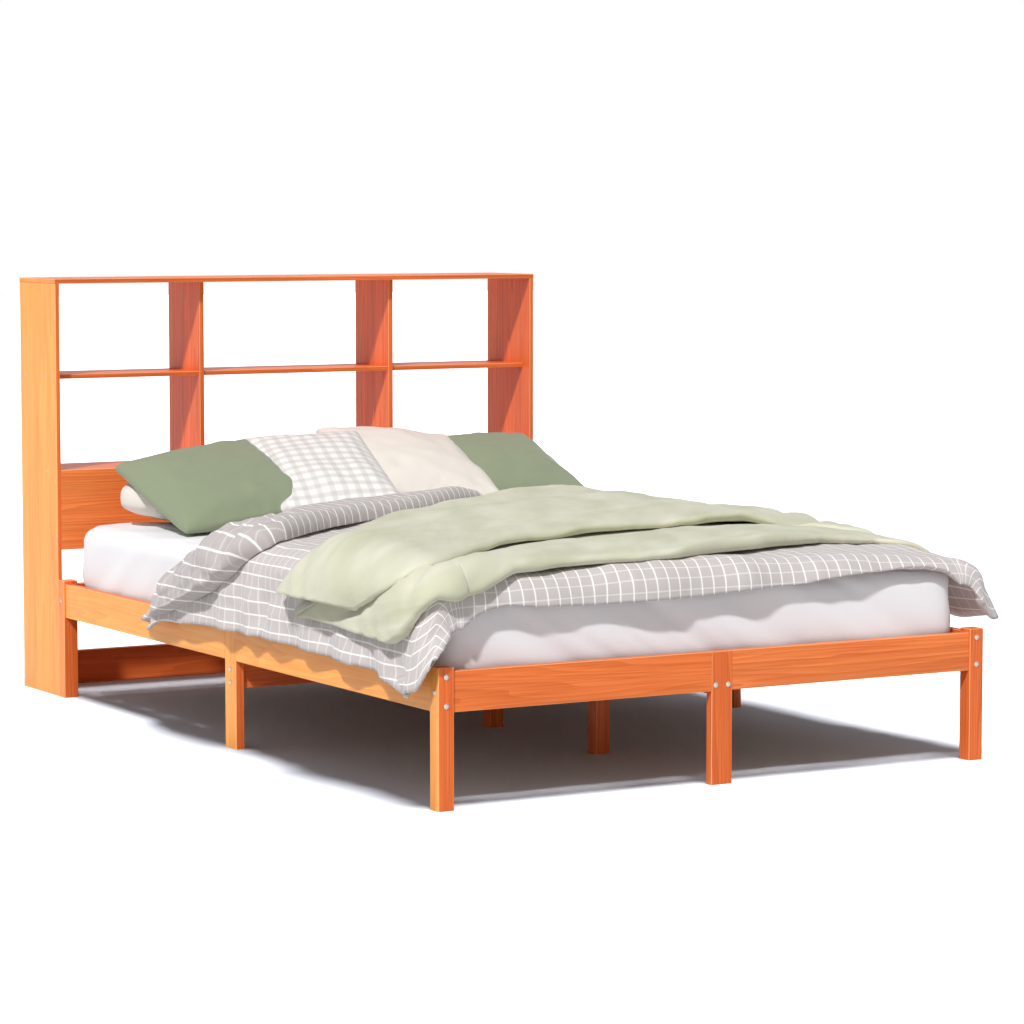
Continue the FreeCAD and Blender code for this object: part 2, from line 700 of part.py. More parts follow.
# Edges across the bed: station at the left side, points (distance from the middle, station) from
# left to right, station at the right side
TURN_DOWN_TOP = (790, ((-690, 809), (-460, 1034), (-245, 1234), (38, 1484)), 1650)
TURN_DOWN_RIGHT = 300
THROW_BACK = (430, ((-720, 459), (-380, 929), (-30, 1309), (265, 1555), (475, 1650)), 1650)
THROW_UPPER_FRONT = (
    62,
    ((-540, 109), (-316, 312), (-88, 515), (145, 619), (330, 679), (560, 609), (690, 379)),
    330,
)
THROW_LOWER_FRONT = (
    62,
    ((-555, 0), (-360, 61), (-200, 109), (0, 89), (360, 109), (640, 215), (689, 209)),
    150,
)
# Turned-down corner down the left side: (station, height over the mattress top), and how near the
# middle that part reaches
TURN_DOWN_SIDE = ((1452, -204), (1170, -122), (1026, -72), (861, 8))
TURN_DOWN_INNER = 580
TURN_DOWN_LOW = 40
# Throw's ends down the sides: (station, depth below the mattress top), and its greatest depth
THROW_LEFT_END = ((40, 112), (115, 119), (222, 108), (317, 80), (620, 70), (660, 50), (1750, 50))
THROW_RIGHT_END = ((0, 46), (110, 24), (273, 0), (900, 0), (1750, 0))
THROW_HANG = 90
# Cutting forms reach this far past the duvet's sides
CUT_REACH = 60


def laid(station):
    """Where a station of the bedding lies along the bed."""
    foot = size("mattress_foot")
    return foot + station * (size("mattress_head") - foot) / size("laid_length")


def edge_across(edge, left, right, height):
    """An edge's points over the bed, from x left to x right."""
    at_left, points, at_right = edge
    points = [(left, at_left), *points, (right, at_right)]
    return [Vector(x, laid(station), height) for x, station in points]


def draped_hood(grow):
    """The duvet's outer form without its hollow, every face moved out by grow."""
    top = size("mattress_top")
    half = size("side_face") + size("hang_gap") + size("duvet_wall") + grow
    edge_high = top + size("duvet_loft") + grow
    corner = size("duvet_corner")
    crown = size("duvet_crown")
    bulge = 0.29 * corner
    wires = []
    for station, left, right, swing, drop in DUVET_STATIONS:
        y = laid(station)
        high = edge_high - drop
        low = high - 0.8 * corner
        shoulder = half - corner
        p = [
            Vector(-half - swing, y, top - left),
            Vector(-half, y, low),
            Vector(-half + bulge, y, high - bulge),
            Vector(-shoulder, y, high),
            Vector(0, y, high + crown),
            Vector(shoulder, y, high),
            Vector(half - bulge, y, high - bulge),
            Vector(half, y, low),
            Vector(half + swing, y, top - right),
        ]
        wires.append(Part.Wire([
            line(p[0], p[1]),
            arc(p[1], p[2], p[3]),
            arc(p[3], p[4], p[5]),
            arc(p[5], p[6], p[7]),
            line(p[7], p[8]),
            line(p[8], p[0]),
        ]))  # fmt: skip
    return Part.makeLoft(wires, True, True)


def make_duvet_and_throw():
    top = size("mattress_top")
    foot = size("mattress_foot")
    side = size("side_face")
    half = side + size("hang_gap") + size("duvet_wall")
    seam = size("seam")
    far = 2 * size("bed_width")
    inner = size("mattress_width") / 2 + seam

    # hollow: the mattress above, the legs and rails below
    mattress_space = Part.makeBox(
        2 * inner, far, top, Vector(-inner, foot - seam, 0)
    )  # fmt: skip
    frame_half = side + size("hang_gap")
    frame_high = size("leg_height") + size("hang_gap")
    frame_space = Part.makeBox(2 * frame_half, 2 * far, frame_high, Vector(-frame_half, -far, 0))
    hem = [Vector(x, -far, top - drop) for x, drop in FOOT_HEM]
    hem += [Vector(frame_half, -far, 0), Vector(-frame_half, -far, 0)]
    foot_space = polygon_prism(hem, Vector(0, far + foot + 1, 0))
    # head end: the duvet stops on a slanting line, where it is folded back
    beyond = polygon_prism(
        [
            Vector(-far, laid(FOLD_LEFT) - FOLD_SLANT * (far - half), 0),
            Vector(far, laid(FOLD_RIGHT) + FOLD_SLANT * (far - half), 0),
            Vector(far, far, 0),
            Vector(-far, far, 0),
        ],
        Vector(0, 0, far),
    )
    hollow = mattress_space.fuse([frame_space, foot_space])
    hood = draped_hood(0)
    lower = hood.cut(hollow).cut(beyond)

    # turned-down layer: a triangle on top, and its corner hanging on the left side
    out = half + CUT_REACH
    thick = draped_hood(size("turndown_loft"))
    low = top - TURN_DOWN_LOW
    on_top = edge_across(TURN_DOWN_TOP, -out, TURN_DOWN_RIGHT, low)
    on_top += [Vector(TURN_DOWN_RIGHT, far, low), Vector(-out, far, low)]
    over_top = polygon_prism(on_top, Vector(0, 0, far))
    side_out = -out - size("turndown_loft")
    first, last = TURN_DOWN_SIDE[0][0], TURN_DOWN_SIDE[-1][0]
    on_side = [Vector(side_out, laid(first), 0)]
    on_side += [Vector(side_out, laid(station), top + rise) for station, rise in TURN_DOWN_SIDE]
    on_side += [
        Vector(side_out, laid(last), far),
        Vector(side_out, far, far),
        Vector(side_out, far, 0),
    ]
    over_side = polygon_prism(on_side, Vector(-side_out - TURN_DOWN_INNER, 0, 0))
    turned = thick.common(over_top.fuse(over_side)).cut(hollow).cut(beyond)
    soft("duvet", lower.fuse(turned).removeSplitter())

    # throw: laid slantwise in two bands, the upper one on top of the lower
    thickness = size("throw_thickness")

    def between_edges(front):
        low = top - THROW_HANG
        points = edge_across(THROW_BACK, -out, out, low)
        points += reversed(edge_across(front, -out, out, low))
        return polygon_prism(points, Vector(0, 0, far))

    def below(end_points, x0, x1):
        points = [Vector(x0, laid(station), top - drop) for station, drop in end_points]
        points += [Vector(x0, laid(end_points[i][0]), 0) for i in (-1, 0)]
        return polygon_prism(points, Vector(x1 - x0, 0, 0))

    lower_band = draped_hood(seam + thickness).common(between_edges(THROW_LOWER_FRONT))
    upper_band = draped_hood(seam + 2 * thickness).common(between_edges(THROW_UPPER_FRONT))
    bands = lower_band.fuse(upper_band).cut(draped_hood(seam))
    bands = bands.cut(below(THROW_LEFT_END, -out, -half / 2))
    bands = bands.cut(below(THROW_RIGHT_END, half / 2, out))
    soft("throw_blanket", bands.removeSplitter())


def flat_faced(loft):
    """The same solid with plane faces, for a loft whose every face has its corners in one plane."""
    faces = []
    for face in loft.Faces:
        points = [vertex.Point for vertex in face.OuterWire.OrderedVertexes]
        faces.append(Part.Face(Part.makePolygon(points + points[:1])))
    shell = Part.makeShell(faces)
    shell.sewShape()
    return Part.makeSolid(shell)


def cushion(length, width, thickness, pull):
    """A filled cushion about its own middle: crowned, thin at the rim, sides drawn in.

    Its rim is a rectangle whose sides are drawn in by pull * (1 - s^2), s from -1 to 1 along
    the side. The rim shrinks by k towards the crown and rises there by (1 - k^4)^0.7.
    """
    rim = 5
    along_side = (-1, -0.6, 0, 0.6)
    shrinks = (1, 0.93, 0.8, 0.6, 0.3)
    outline = []
    for turn in range(4):
        run, reach = (length, width) if turn % 2 == 0 else (width, length)
        quarter = Rotation(Vector(0, 0, 1), 90 * turn)
        for s in along_side:
            drawn_in = reach / 2 * (1 - pull * (1 - s * s))
            outline.append(quarter.multVec(Vector(s * run / 2, -drawn_in, 0)))
    upper = []
    for k in shrinks:
        rise = Vector(0, 0, rim + (thickness / 2 - rim) * (1 - k**4) ** 0.7)
        upper.append([point * k + rise for point in outline])
    lower = [[Vector(point.x, point.y, -point.z) for point in level] for level in reversed(upper)]
    wires = [Part.makePolygon(level + level[:1]) for level in lower + upper]
    return flat_faced(Part.makeLoft(wires, True, True))


def make_pillows():
    top = size("mattress_top")
    seam = size("seam")
    front = size("case_front")
    wide = size("bed_width")
    under = Part.makeBox(2 * wide, 4 * wide, top, Vector(-wide, -2 * wide, 0))
    behind = Part.makeBox(2 * wide, wide, wide, Vector(-wide, front - 4, 0))
    # (label, length, width, thickness, middle from the bookcase front and the mattress top,
    #  yaw about z, tilt about the pillow's length, roll across it)
    pillows = (
        ("pillow_cream_lying", 660, 300, 110, (-270, -165, 50), 0, 0, 0),
        ("pillow_green_left", 700, 420, 150, (-215, -228, 98), -2, 24, 2),
        ("pillow_green_right", 700, 420, 150, (345, -200, 98), 4, 28, -2),
        ("pillow_cream", 500, 470, 150, (215, -225, 128), -6, 34, 8),
        ("pillow_checked", 420, 430, 120, (-105, -305, 142), 8, 21, -2),
    )
    done = [bodies["duvet"].Shape]
    for label, length, width, thickness, middle, yaw, tilt, roll in pillows:
        shape = cushion(length, width, thickness, 0.07)
        turn = (
            Rotation(Vector(0, 0, 1), yaw)
            * Rotation(Vector(1, 0, 0), tilt)
            * Rotation(Vector(0, 1, 0), roll)
        )
        spot = Vector(middle[0], front + middle[1], top + middle[2])
        shape.Placement = Placement(spot, turn)
        shape = shape.cut([under, behind] + done)
        shape = max(shape.Solids, key=lambda s: s.Volume)
        done.append(shape)
        soft(label, shape)


make_mattress()
make_duvet_and_throw()
make_pillows()
doc.recompute()

# ---------------------------------------------------------------- tests and export
for thing in doc.Objects:
    if "Invalid" in thing.State or "Error" in thing.State:
        raise RuntimeError(f"{thing.Label} did not build: {thing.State}")
for hole in cuts:
    if hole.Shape.Volume > hole.BaseFeature.Shape.Volume - 1:
        raise RuntimeError(f"{hole.Label} cuts nothing")
for label, piece in bodies.items():
    if piece.Shape.isNull() or not piece.Shape.isValid() or not piece.Shape.Solids:
        raise RuntimeError(f"{label} is not a valid solid")
for label, piece in bodies.items():
    piece.Shape.exportStep(f"parts/{label}.step")
print(f"{len(bodies)} sub-parts written")
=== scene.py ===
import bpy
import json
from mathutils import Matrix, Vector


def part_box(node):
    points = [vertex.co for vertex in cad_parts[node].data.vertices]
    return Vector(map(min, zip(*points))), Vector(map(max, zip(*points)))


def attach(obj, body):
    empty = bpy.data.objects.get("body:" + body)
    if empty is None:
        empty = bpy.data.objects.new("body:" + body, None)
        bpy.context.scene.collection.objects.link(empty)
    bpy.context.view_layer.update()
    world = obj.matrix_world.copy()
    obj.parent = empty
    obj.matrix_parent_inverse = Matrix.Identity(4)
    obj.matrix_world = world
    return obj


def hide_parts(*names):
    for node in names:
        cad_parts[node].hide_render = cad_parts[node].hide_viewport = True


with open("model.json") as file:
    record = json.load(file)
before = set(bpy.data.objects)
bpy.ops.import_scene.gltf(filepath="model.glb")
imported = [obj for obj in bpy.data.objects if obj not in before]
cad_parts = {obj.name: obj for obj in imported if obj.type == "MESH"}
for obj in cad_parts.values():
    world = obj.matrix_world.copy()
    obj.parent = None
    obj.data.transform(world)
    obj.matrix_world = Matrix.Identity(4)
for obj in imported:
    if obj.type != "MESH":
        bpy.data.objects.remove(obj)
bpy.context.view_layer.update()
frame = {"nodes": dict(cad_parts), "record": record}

import json
import math
import bpy
import numpy as np

# Bookcase headboard bed: its finishes and its bedding, in metres.
# x runs across the bed, +y towards the bookcase and z up, so the foot end faces -y.
print("frame loaded,", len(frame["nodes"]), "nodes")


# a channel c of an sRGB hex turns linear as c / 12.92 when low, else ((c + 0.055) / 1.055) ^ 2.4
def linearColour(hexText):
    channels = [int(hexText[i:i + 2], 16) / 255 for i in (1, 3, 5)]
    return [c / 12.92 if c <= 0.04045 else ((c + 0.055) / 1.055) ** 2.4 for c in channels] + [1.0]


# one node with its settings; inputs go by name or number in a dict, or in order in a tuple, and
# each is a value, a socket to link, or a node to link by its first output
def addNode(tree, kind, inputs=(), **settings):
    node = tree.nodes.new(kind)
    for name, value in settings.items():
        setattr(node, name, value)
    pairs = inputs.items() if isinstance(inputs, dict) else enumerate(inputs)
    for name, value in pairs:
        if isinstance(value, bpy.types.Node):
            value = value.outputs[0]
        if isinstance(value, bpy.types.NodeSocket):
            tree.links.new(value, node.inputs[name])
        else:
            node.inputs[name].default_value = value
    return node


# a material whose shader sockets have these values
def newMaterial(name, shaderValues):
    material = bpy.data.materials.new(name)
    material.use_nodes = True
    shader = material.node_tree.nodes["Principled BSDF"]
    for socket, value in shaderValues.items():
        shader.inputs[socket].default_value = value
    return material, material.node_tree, shader


# meshes, all from whole arrays

# quads of a grid of points, each with its neighbours in the next column and the next row;
# wrap closes the columns into a ring, and start is the first point's number
def gridQuads(rows, cols, wrap=False, start=0):
    across = cols if wrap else cols - 1
    r, c = np.meshgrid(np.arange(rows - 1), np.arange(across), indexing="ij")
    nextC = (c + 1) % cols
    corners = [r * cols + c, r * cols + nextC, (r + 1) * cols + nextC, (r + 1) * cols + c]
    return np.stack(corners, -1).reshape(-1, 4) + start


# turns all faces over if the enclosed volume, the sum of a . (b x c) / 6, comes out negative
def outwardFaces(points, quads):
    a, b, c, d = (points[quads[:, i]] for i in range(4))
    volume = (a * np.cross(b, c)).sum() + (a * np.cross(c, d)).sum()
    return quads[:, ::-1] if volume < 0 else quads


# one smooth object at the origin, with a place on the cloth (its UV map) for every point
def meshPiece(name, points, quads, uv):
    points = points.reshape(-1, 3)
    mesh = bpy.data.meshes.new(name)
    mesh.from_pydata(points, [], outwardFaces(points, quads))
    mesh.validate()
    corner = np.zeros(len(mesh.loops), np.int32)
    mesh.loops.foreach_get("vertex_index", corner)
    layer = mesh.uv_layers.new(name="cloth")
    layer.data.foreach_set("uv", uv.reshape(-1, 2)[corner].astype(np.float32).ravel())
    mesh.polygons.foreach_set("use_smooth", np.ones(len(mesh.polygons), bool))
    piece = bpy.data.objects.new(name, mesh)
    bpy.context.scene.collection.objects.link(piece)
    return piece


# a closed shell: an outer and an inner grid of points, joined along their four borders
def shellPiece(name, outer, inner, uv):
    rows, cols = outer.shape[:2]
    count = rows * cols
    under = gridQuads(rows, cols, start=count)[:, ::-1]
    ids = np.arange(count).reshape(rows, cols)
    border = np.concatenate([ids[0, :-1], ids[:-1, -1], ids[-1, :0:-1], ids[:0:-1, 0]])
    after = np.roll(border, -1)
    rim = np.stack([border, border + count, after + count, after], -1)
    quads = np.concatenate([gridQuads(rows, cols), under, rim])
    return meshPiece(name, np.stack([outer, inner]), quads, np.stack([uv, uv]))


# unit normals of a grid of points: the cross product of its steps across and along
def gridNormals(points):
    normal = np.cross(np.gradient(points, axis=1), np.gradient(points, axis=0))
    return normal / np.maximum(np.linalg.norm(normal, axis=-1, keepdims=True), 1e-9)


# the same normals, turned away from a point low inside the bed
def outwardNormals(points, inside=(0, 0, 0.2)):
    normal = gridNormals(points)
    return normal * np.sign((normal * (points - np.array(inside))).sum(-1, keepdims=True))


# t * t * (3 - 2 t), where t runs from 0 at low to 1 at high and stays there
def smoothStep(x, low=0.0, high=1.0):
    t = np.clip((x - low) / (high - low), 0, 1)
    return t * t * (3 - 2 * t)


# soft random field, about -1 to 1: a seeded lattice blended by smooth steps, and added up in
# octaves, each twice as fine, half as strong and moved along by the drift
def softNoise(u, v, seed, octaves=3):
    cells, drift = 64, (7.3, 3.1)
    lattice = np.random.default_rng(seed).uniform(-1, 1, (cells, cells))
    total = 0.0
    for level in range(octaves):
        x, y = (place * 2 ** level + step * level for place, step in zip((u, v), drift))
        i, j = np.floor(x).astype(int), np.floor(y).astype(int)
        fx, fy = smoothStep(x - i), smoothStep(y - j)
        (i, nextI), (j, nextJ) = ((n % cells, (n + 1) % cells) for n in (i, j))
        near = lattice[i, j] * (1 - fx) + lattice[nextI, j] * fx
        far = lattice[i, nextJ] * (1 - fx) + lattice[nextI, nextJ] * fx
        total = total + 0.5 ** level * (near * (1 - fy) + far * fy)
    return total


# camera, light and floor
cameraFit = {
    "place": (-4.3396, -7.6047, 1.2918),
    "turn": 30.02,          # degrees from +y towards +x
    "down": 4.93,           # degrees below level
    "focalPixels": 3537.5,  # for a picture as wide as the next line
    "picture": 1024,
    "sensor": 36,           # millimetres
    "farthest": 100,
}
camera = bpy.data.objects.new("camera", bpy.data.cameras.new("camera"))
camera.data.sensor_width = cameraFit["sensor"]
camera.data.lens = cameraFit["focalPixels"] / cameraFit["picture"] * cameraFit["sensor"]
camera.data.clip_end = cameraFit["farthest"]
camera.location = cameraFit["place"]
tilt, turn = math.radians(90 - cameraFit["down"]), math.radians(cameraFit["turn"])
camera.rotation_euler = (tilt, 0, -turn)
bpy.context.scene.collection.objects.link(camera)
bpy.context.scene.camera = camera
bpy.context.scene.view_settings.view_transform = "Standard"

light = {
    "horizon": 0.30,                  # the studio's pale walls
    "ceiling": 0.12,                  # added towards straight up
    "key": 2.95,                      # from the left foot side, high up, on all but the floor
    "keyWay": (-0.55, -0.44, 0.71),
    "keyAngle": 4,
    "overhead": 9.0,                  # for the floor alone, where it draws the bed's soft shadow
    "overheadWay": (-0.07, -0.18, 0.98),
    "overheadAngle": 22,
}


# 1 where the eye sees a thing straight, mirrored or through glass, else 0: the largest of the
# camera, glossy and transmission rays
def seenByEye(tree):
    path = addNode(tree, "ShaderNodeLightPath").outputs
    straight = (path["Is Camera Ray"], path["Is Glossy Ray"])
    seen = addNode(tree, "ShaderNodeMath", straight, operation="MAXIMUM")
    return addNode(tree, "ShaderNodeMath", (seen, path["Is Transmission Ray"]), operation="MAXIMUM")


# white backdrop for the eye; for light, horizon + ceiling * the direction's upward part
def makeWorld():
    world = bpy.data.worlds.new("studio")
    bpy.context.scene.world = world
    world.use_nodes = True
    tree = world.node_tree
    tree.nodes.clear()
    way = addNode(tree, "ShaderNodeTexCoord").outputs["Generated"]
    up = addNode(tree, "ShaderNodeSeparateXYZ", (way,)).outputs["Z"]
    above = addNode(tree, "ShaderNodeMath", (up, 0.0), operation="MAXIMUM")
    strength = addNode(tree, "ShaderNodeMath", (above, light["ceiling"], light["horizon"]),
                       operation="MULTIPLY_ADD")
    white = linearColour("#FFFFFF")
    studio = addNode(tree, "ShaderNodeBackground", {"Color": white, "Strength": strength})
    backdrop = addNode(tree, "ShaderNodeBackground", {"Color": white, "Strength": 1.0})
    mix = addNode(tree, "ShaderNodeMixShader", (seenByEye(tree), studio, backdrop))
    addNode(tree, "ShaderNodeOutputWorld", {"Surface": mix})


# the lamp of that kind, which lights the floor alone or all but the floor
def makeSun(kind, floor, onFloor):
    lamp = bpy.data.lights.new(kind, "SUN")
    lamp.energy = light[kind]
    lamp.angle = math.radians(light[kind + "Angle"])
    sun = bpy.data.objects.new(kind, lamp)
    x, y, z = light[kind + "Way"]
    sun.rotation_euler = (math.atan2(math.hypot(x, y), z), 0, math.atan2(y, x) + math.pi / 2)
    bpy.context.scene.collection.objects.link(sun)
    lit = bpy.data.collections.new(kind + "_receivers")
    lit.objects.link(floor)
    sun.light_linking.receiver_collection = lit
    if not onFloor:
        lit.collection_objects[0].light_linking.link_state = "EXCLUDE"


floorPaint = {
    "reach": 40,            # metres each way
    "toLight": "#868686",   # the grey that other rays meet, so that it throws little light back
    "toEye": "#C7CBD4",     # bright enough under its lamp to meet the white backdrop
}


# Matt floor paint, rolled on, with no gloss: pale to the eye and even, with the bed's shadow.
def makeFloor():
    reach = floorPaint["reach"]
    points = [(-reach, -reach, 0), (reach, -reach, 0), (reach, reach, 0), (-reach, reach, 0)]
    mesh = bpy.data.meshes.new("floor")
    mesh.from_pydata(points, [], [(0, 1, 2, 3)])
    floor = bpy.data.objects.new("floor", mesh)
    bpy.context.scene.collection.objects.link(floor)
    material, tree, shader = newMaterial(
        "studio_floor_paint", {"Roughness": 0.9, "Specular IOR Level": 0})
    grey, pale = linearColour(floorPaint["toLight"]), linearColour(floorPaint["toEye"])
    # a colour mix has its factor in socket 0, its colours in 6 and 7, and gives socket 2
    colour = addNode(tree, "ShaderNodeMix", {0: seenByEye(tree), 6: grey, 7: pale},
                     data_type="RGBA")
    tree.links.new(colour.outputs[2], shader.inputs["Base Color"])
    mesh.materials.append(material)
    return floor


makeWorld()
floor = makeFloor()
makeSun("key", floor, onFloor=False)
makeSun("overhead", floor, onFloor=True)
print("camera, light and floor")

# stained pine boards
pine = {
    "sawnFace": "#F27C3E",      # honey stain on the faces across the bed
    "frontFace": {"headboard_panel": "#FF944F", "foot_rail_left": "#F88543",
                  "foot_rail_right": "#FF904D"},
    "sideFace": "#FFB354",      # painted light: the stain drawn paler on the faces along the bed, which look towards the key lamp from the left
    "lateWood": "#C04414",
    # painted light: the late wood drawn paler on those same lit side faces
    "sideLateWood": "#EB7E2E",
    # painted light: how strongly each board's side faces take the paler lit copy; boards not listed
    # take none
    "paleSides": {"side_panel_left": 1.0, "side_rail_left_foot": 0.95, "side_rail_left_head": 1.0,
                  "foot_leg_left": 0.9, "mid_leg_left": 0.95, "head_leg_left": 0.45,
                  "top_board": 0.8, "headboard_panel": 0.5},
    "easedEdge": "#FFC48A",     # stain rubbed thin on the eased edges
    "edgeShare": 0.6,
    "ring": 0.010,              # growth rings, drawn wider than the real 3 mm so that they show
    "ringShare": (0.40, 0.08),  # how strongly they show, and how that varies between boards
    "ringsAlong": 0.06,         # rings are drawn out along the grain to this part of their pace
    "wander": 0.0909,           # size of the bends in the rings, and how far they go
    "wanderBy": 0.12,
    "streak": 0.0022,           # pores and fine streaks, and their pace along the grain
    "streaksAlong": 0.02,
    "cloud": 0.0625,            # size of lighter and darker patches
    "pithOff": 0.05,            # how far the pith may lie from the board's middle
    # noise from and to, and what these turn into: how strongly the streaks show, how bright the
    # patches are, and how rough the streaks leave the lacquer
    "streakRange": (0.45, 0.8, 0.0, 0.5),
    "cloudRange": (0.35, 0.7, 0.88, 1.08),
    "roughRange": (0.3, 0.8, 0.36, 0.52),
    "relief": {"Strength": 0.25, "Distance": 0.0004},
    "lacquer": {"Coat Weight": 0.03, "Coat Roughness": 0.3, "Specular IOR Level": 0.18},
    "flatFrom": 0.9,            # least share of a flat face's normal along one axis
}


# Stained pine, planed and lacquered satin: growth rings about a pith beside the board, seen as
# long arches on the flat faces, fine streaks along the grain, and paler eased edges; painted light
# makes the side faces of the listed boards paler, where the key lamp falls.
def pineMaterial(node, seed):
    low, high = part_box(node)
    size = [high[i] - low[i] for i in range(3)]
    grain = size.index(max(size))
    draw = np.random.default_rng(seed)
    offset = draw.uniform(-pine["pithOff"], pine["pithOff"], 3)
    tone = float(draw.uniform(-1, 1))
    material, tree, shader = newMaterial("stained_pine_" + node, pine["lacquer"])

    coord = addNode(tree, "ShaderNodeTexCoord").outputs
    place = [float(offset[i]) - (low[i] + high[i]) / 2 for i in range(3)]
    pith = addNode(tree, "ShaderNodeMapping", {"Vector": coord["Object"], "Location": place})
    drawnOut, fine = [1.0, 1.0, 1.0], [1.0, 1.0, 1.0]
    drawnOut[grain], fine[grain] = pine["ringsAlong"], pine["streaksAlong"]
    long = addNode(tree, "ShaderNodeMapping", {"Vector": pith, "Scale": drawnOut})
    bends = addNode(tree, "ShaderNodeTexNoise",
                    {"Vector": long, "Scale": 1 / pine["wander"], "Detail": 2.0})
    bent = addNode(tree, "ShaderNodeVectorMath",
                   (bends.outputs["Color"], (pine["wanderBy"],) * 3), operation="MULTIPLY")
    wandering = addNode(tree, "ShaderNodeVectorMath", (long, bent), operation="ADD")
    # a wave texture of scale 0.314 has one ring to the metre
    rings = addNode(tree, "ShaderNodeTexWave",
                    {"Vector": wandering, "Scale": 0.314 / pine["ring"], "Distortion": 1.5,
                     "Detail": 2.0, "Detail Scale": 1.5},
                    wave_type="RINGS", rings_direction="XYZ"[grain], wave_profile="SAW")
    thin = addNode(tree, "ShaderNodeMapping", {"Vector": pith, "Scale": fine})
    streaks = addNode(tree, "ShaderNodeTexNoise",
                      {"Vector": thin, "Scale": 0.5 / pine["streak"], "Detail": 3.0,
                       "Roughness": 0.6})
    clouds = addNode(tree, "ShaderNodeTexNoise",
                     {"Vector": long, "Scale": 1 / pine["cloud"], "Detail": 2.0})

    # the normal of a flat face has one large part, and on an eased edge it has none
    normal = addNode(tree, "ShaderNodeSeparateXYZ", (coord["Normal"],)).outputs
    x, y, z = (addNode(tree, "ShaderNodeMath", (normal[i],), operation="ABSOLUTE")
               for i in range(3))
    # painted light: share of the paler lit copy, from how far the face looks along x, times the
    # board's listed share
    paintedLightShare = addNode(tree, "ShaderNodeMath", (x, pine["paleSides"].get(node, 0.0)),
                        operation="MULTIPLY", use_clamp=True)
    largest = addNode(tree, "ShaderNodeMath", (x, y), operation="MAXIMUM")
    largest = addNode(tree, "ShaderNodeMath", (largest, z), operation="MAXIMUM")
    eased = addNode(tree, "ShaderNodeMath", (largest, pine["flatFrom"]), operation="LESS_THAN")
    edgeShare = addNode(tree, "ShaderNodeMath", (eased, pine["edgeShare"]), operation="MULTIPLY")
    ringShare = addNode(tree, "ShaderNodeMath",
                        (rings.outputs["Fac"], pine["ringShare"][0] + pine["ringShare"][1] * tone),
                        operation="MULTIPLY")
    streakShare = addNode(tree, "ShaderNodeMapRange", (streaks, *pine["streakRange"]))
    cloudShade = addNode(tree, "ShaderNodeMapRange", (clouds, *pine["cloudRange"]))
    shade = addNode(tree, "ShaderNodeCombineColor", (cloudShade, cloudShade, cloudShade))

    face = pine["frontFace"].get(node, pine["sawnFace"])
    # the stain and the late wood, each mixed towards its painted lit copy on the side faces
    colour, late = (
        addNode(tree, "ShaderNodeMix",
                {0: paintedLightShare, 6: linearColour(front), 7: linearColour(side)},
                data_type="RGBA").outputs[2]
        for front, side in ((face, pine["sideFace"]), (pine["lateWood"], pine["sideLateWood"])))
    for share, over, blend in ((ringShare, late, "MIX"), (streakShare, late, "MIX"),
                               (1.0, shade, "MULTIPLY"),
                               (edgeShare, linearColour(pine["easedEdge"]), "MIX")):
        colour = addNode(tree, "ShaderNodeMix", {0: share, 6: colour, 7: over},
                         data_type="RGBA", blend_type=blend).outputs[2]
    tree.links.new(colour, shader.inputs["Base Color"])
    rough = addNode(tree, "ShaderNodeMapRange", (streaks, *pine["roughRange"]))
    tree.links.new(rough.outputs[0], shader.inputs["Roughness"])
    bump = addNode(tree, "ShaderNodeBump", {**pine["relief"], "Height": streaks})
    tree.links.new(bump.outputs[0], shader.inputs["Normal"])
    return material


def paintNode(node, material):
    mesh = frame["nodes"][node].data
    mesh.materials.clear()
    mesh.materials.append(material)


slotOf = {part["node"]: part["material_slot"] for part in frame["record"]["subparts"]}
for index, node in enumerate(sorted(n for n, s in slotOf.items() if s == "stained_pine")):
    paintNode(node, pineMaterial(node, 100 + index))
print("stained pine")

# plain finishes of the small pieces; "grain" is the size of their unevenness, drawn coarse
# enough to show
plainFinish = {
    # planed pine, left bare: pale and matt
    "planed_pine": {"colour": "#E2BD8C", "roughness": 0.6, "metal": 0.0, "grain": 0.00333},
    # turned beech dowel: pinkish and close-grained
    "beech_dowel": {"colour": "#D9B48A", "roughness": 0.6, "metal": 0.0, "grain": 0.00333},
    # woven cotton tape: off-white and dull
    "woven_tape": {"colour": "#D8D4CA", "roughness": 0.9, "metal": 0.0, "grain": 0.00111},
    # zinc-plated steel, tumbled: a soft grey gleam
    "zinc_plated_steel": {"colour": "#B3AA9E", "roughness": 0.38, "metal": 0.8, "grain": 0.005},
}


# one colour with a fine uneven surface
def plainMaterial(finish, ending=""):
    kit = plainFinish[finish]
    material, tree, shader = newMaterial(finish + ending, {
        "Base Color": linearColour(kit["colour"]), "Roughness": kit["roughness"],
        "Metallic": kit["metal"]})
    coord = addNode(tree, "ShaderNodeTexCoord").outputs["Object"]
    noise = addNode(tree, "ShaderNodeTexNoise",
                    {"Vector": coord, "Scale": 1 / kit["grain"], "Detail": 2.0})
    bump = addNode(tree, "ShaderNodeBump", {"Strength": 0.3, "Distance": 0.0005, "Height": noise})
    tree.links.new(bump.outputs[0], shader.inputs["Normal"])
    return material


for node in (n for n, s in slotOf.items() if s == "slat_pine"):
    paintNode(node, plainMaterial("planed_pine", "_" + node))
paintNode("dowels", plainMaterial("beech_dowel"))
paintNode("slat_tapes", plainMaterial("woven_tape"))
steel = plainMaterial("zinc_plated_steel")
for node in ("frame_bolts", "barrel_nuts", "bookcase_screws"):
    paintNode(node, steel)
print("plain wood, steel and tape")

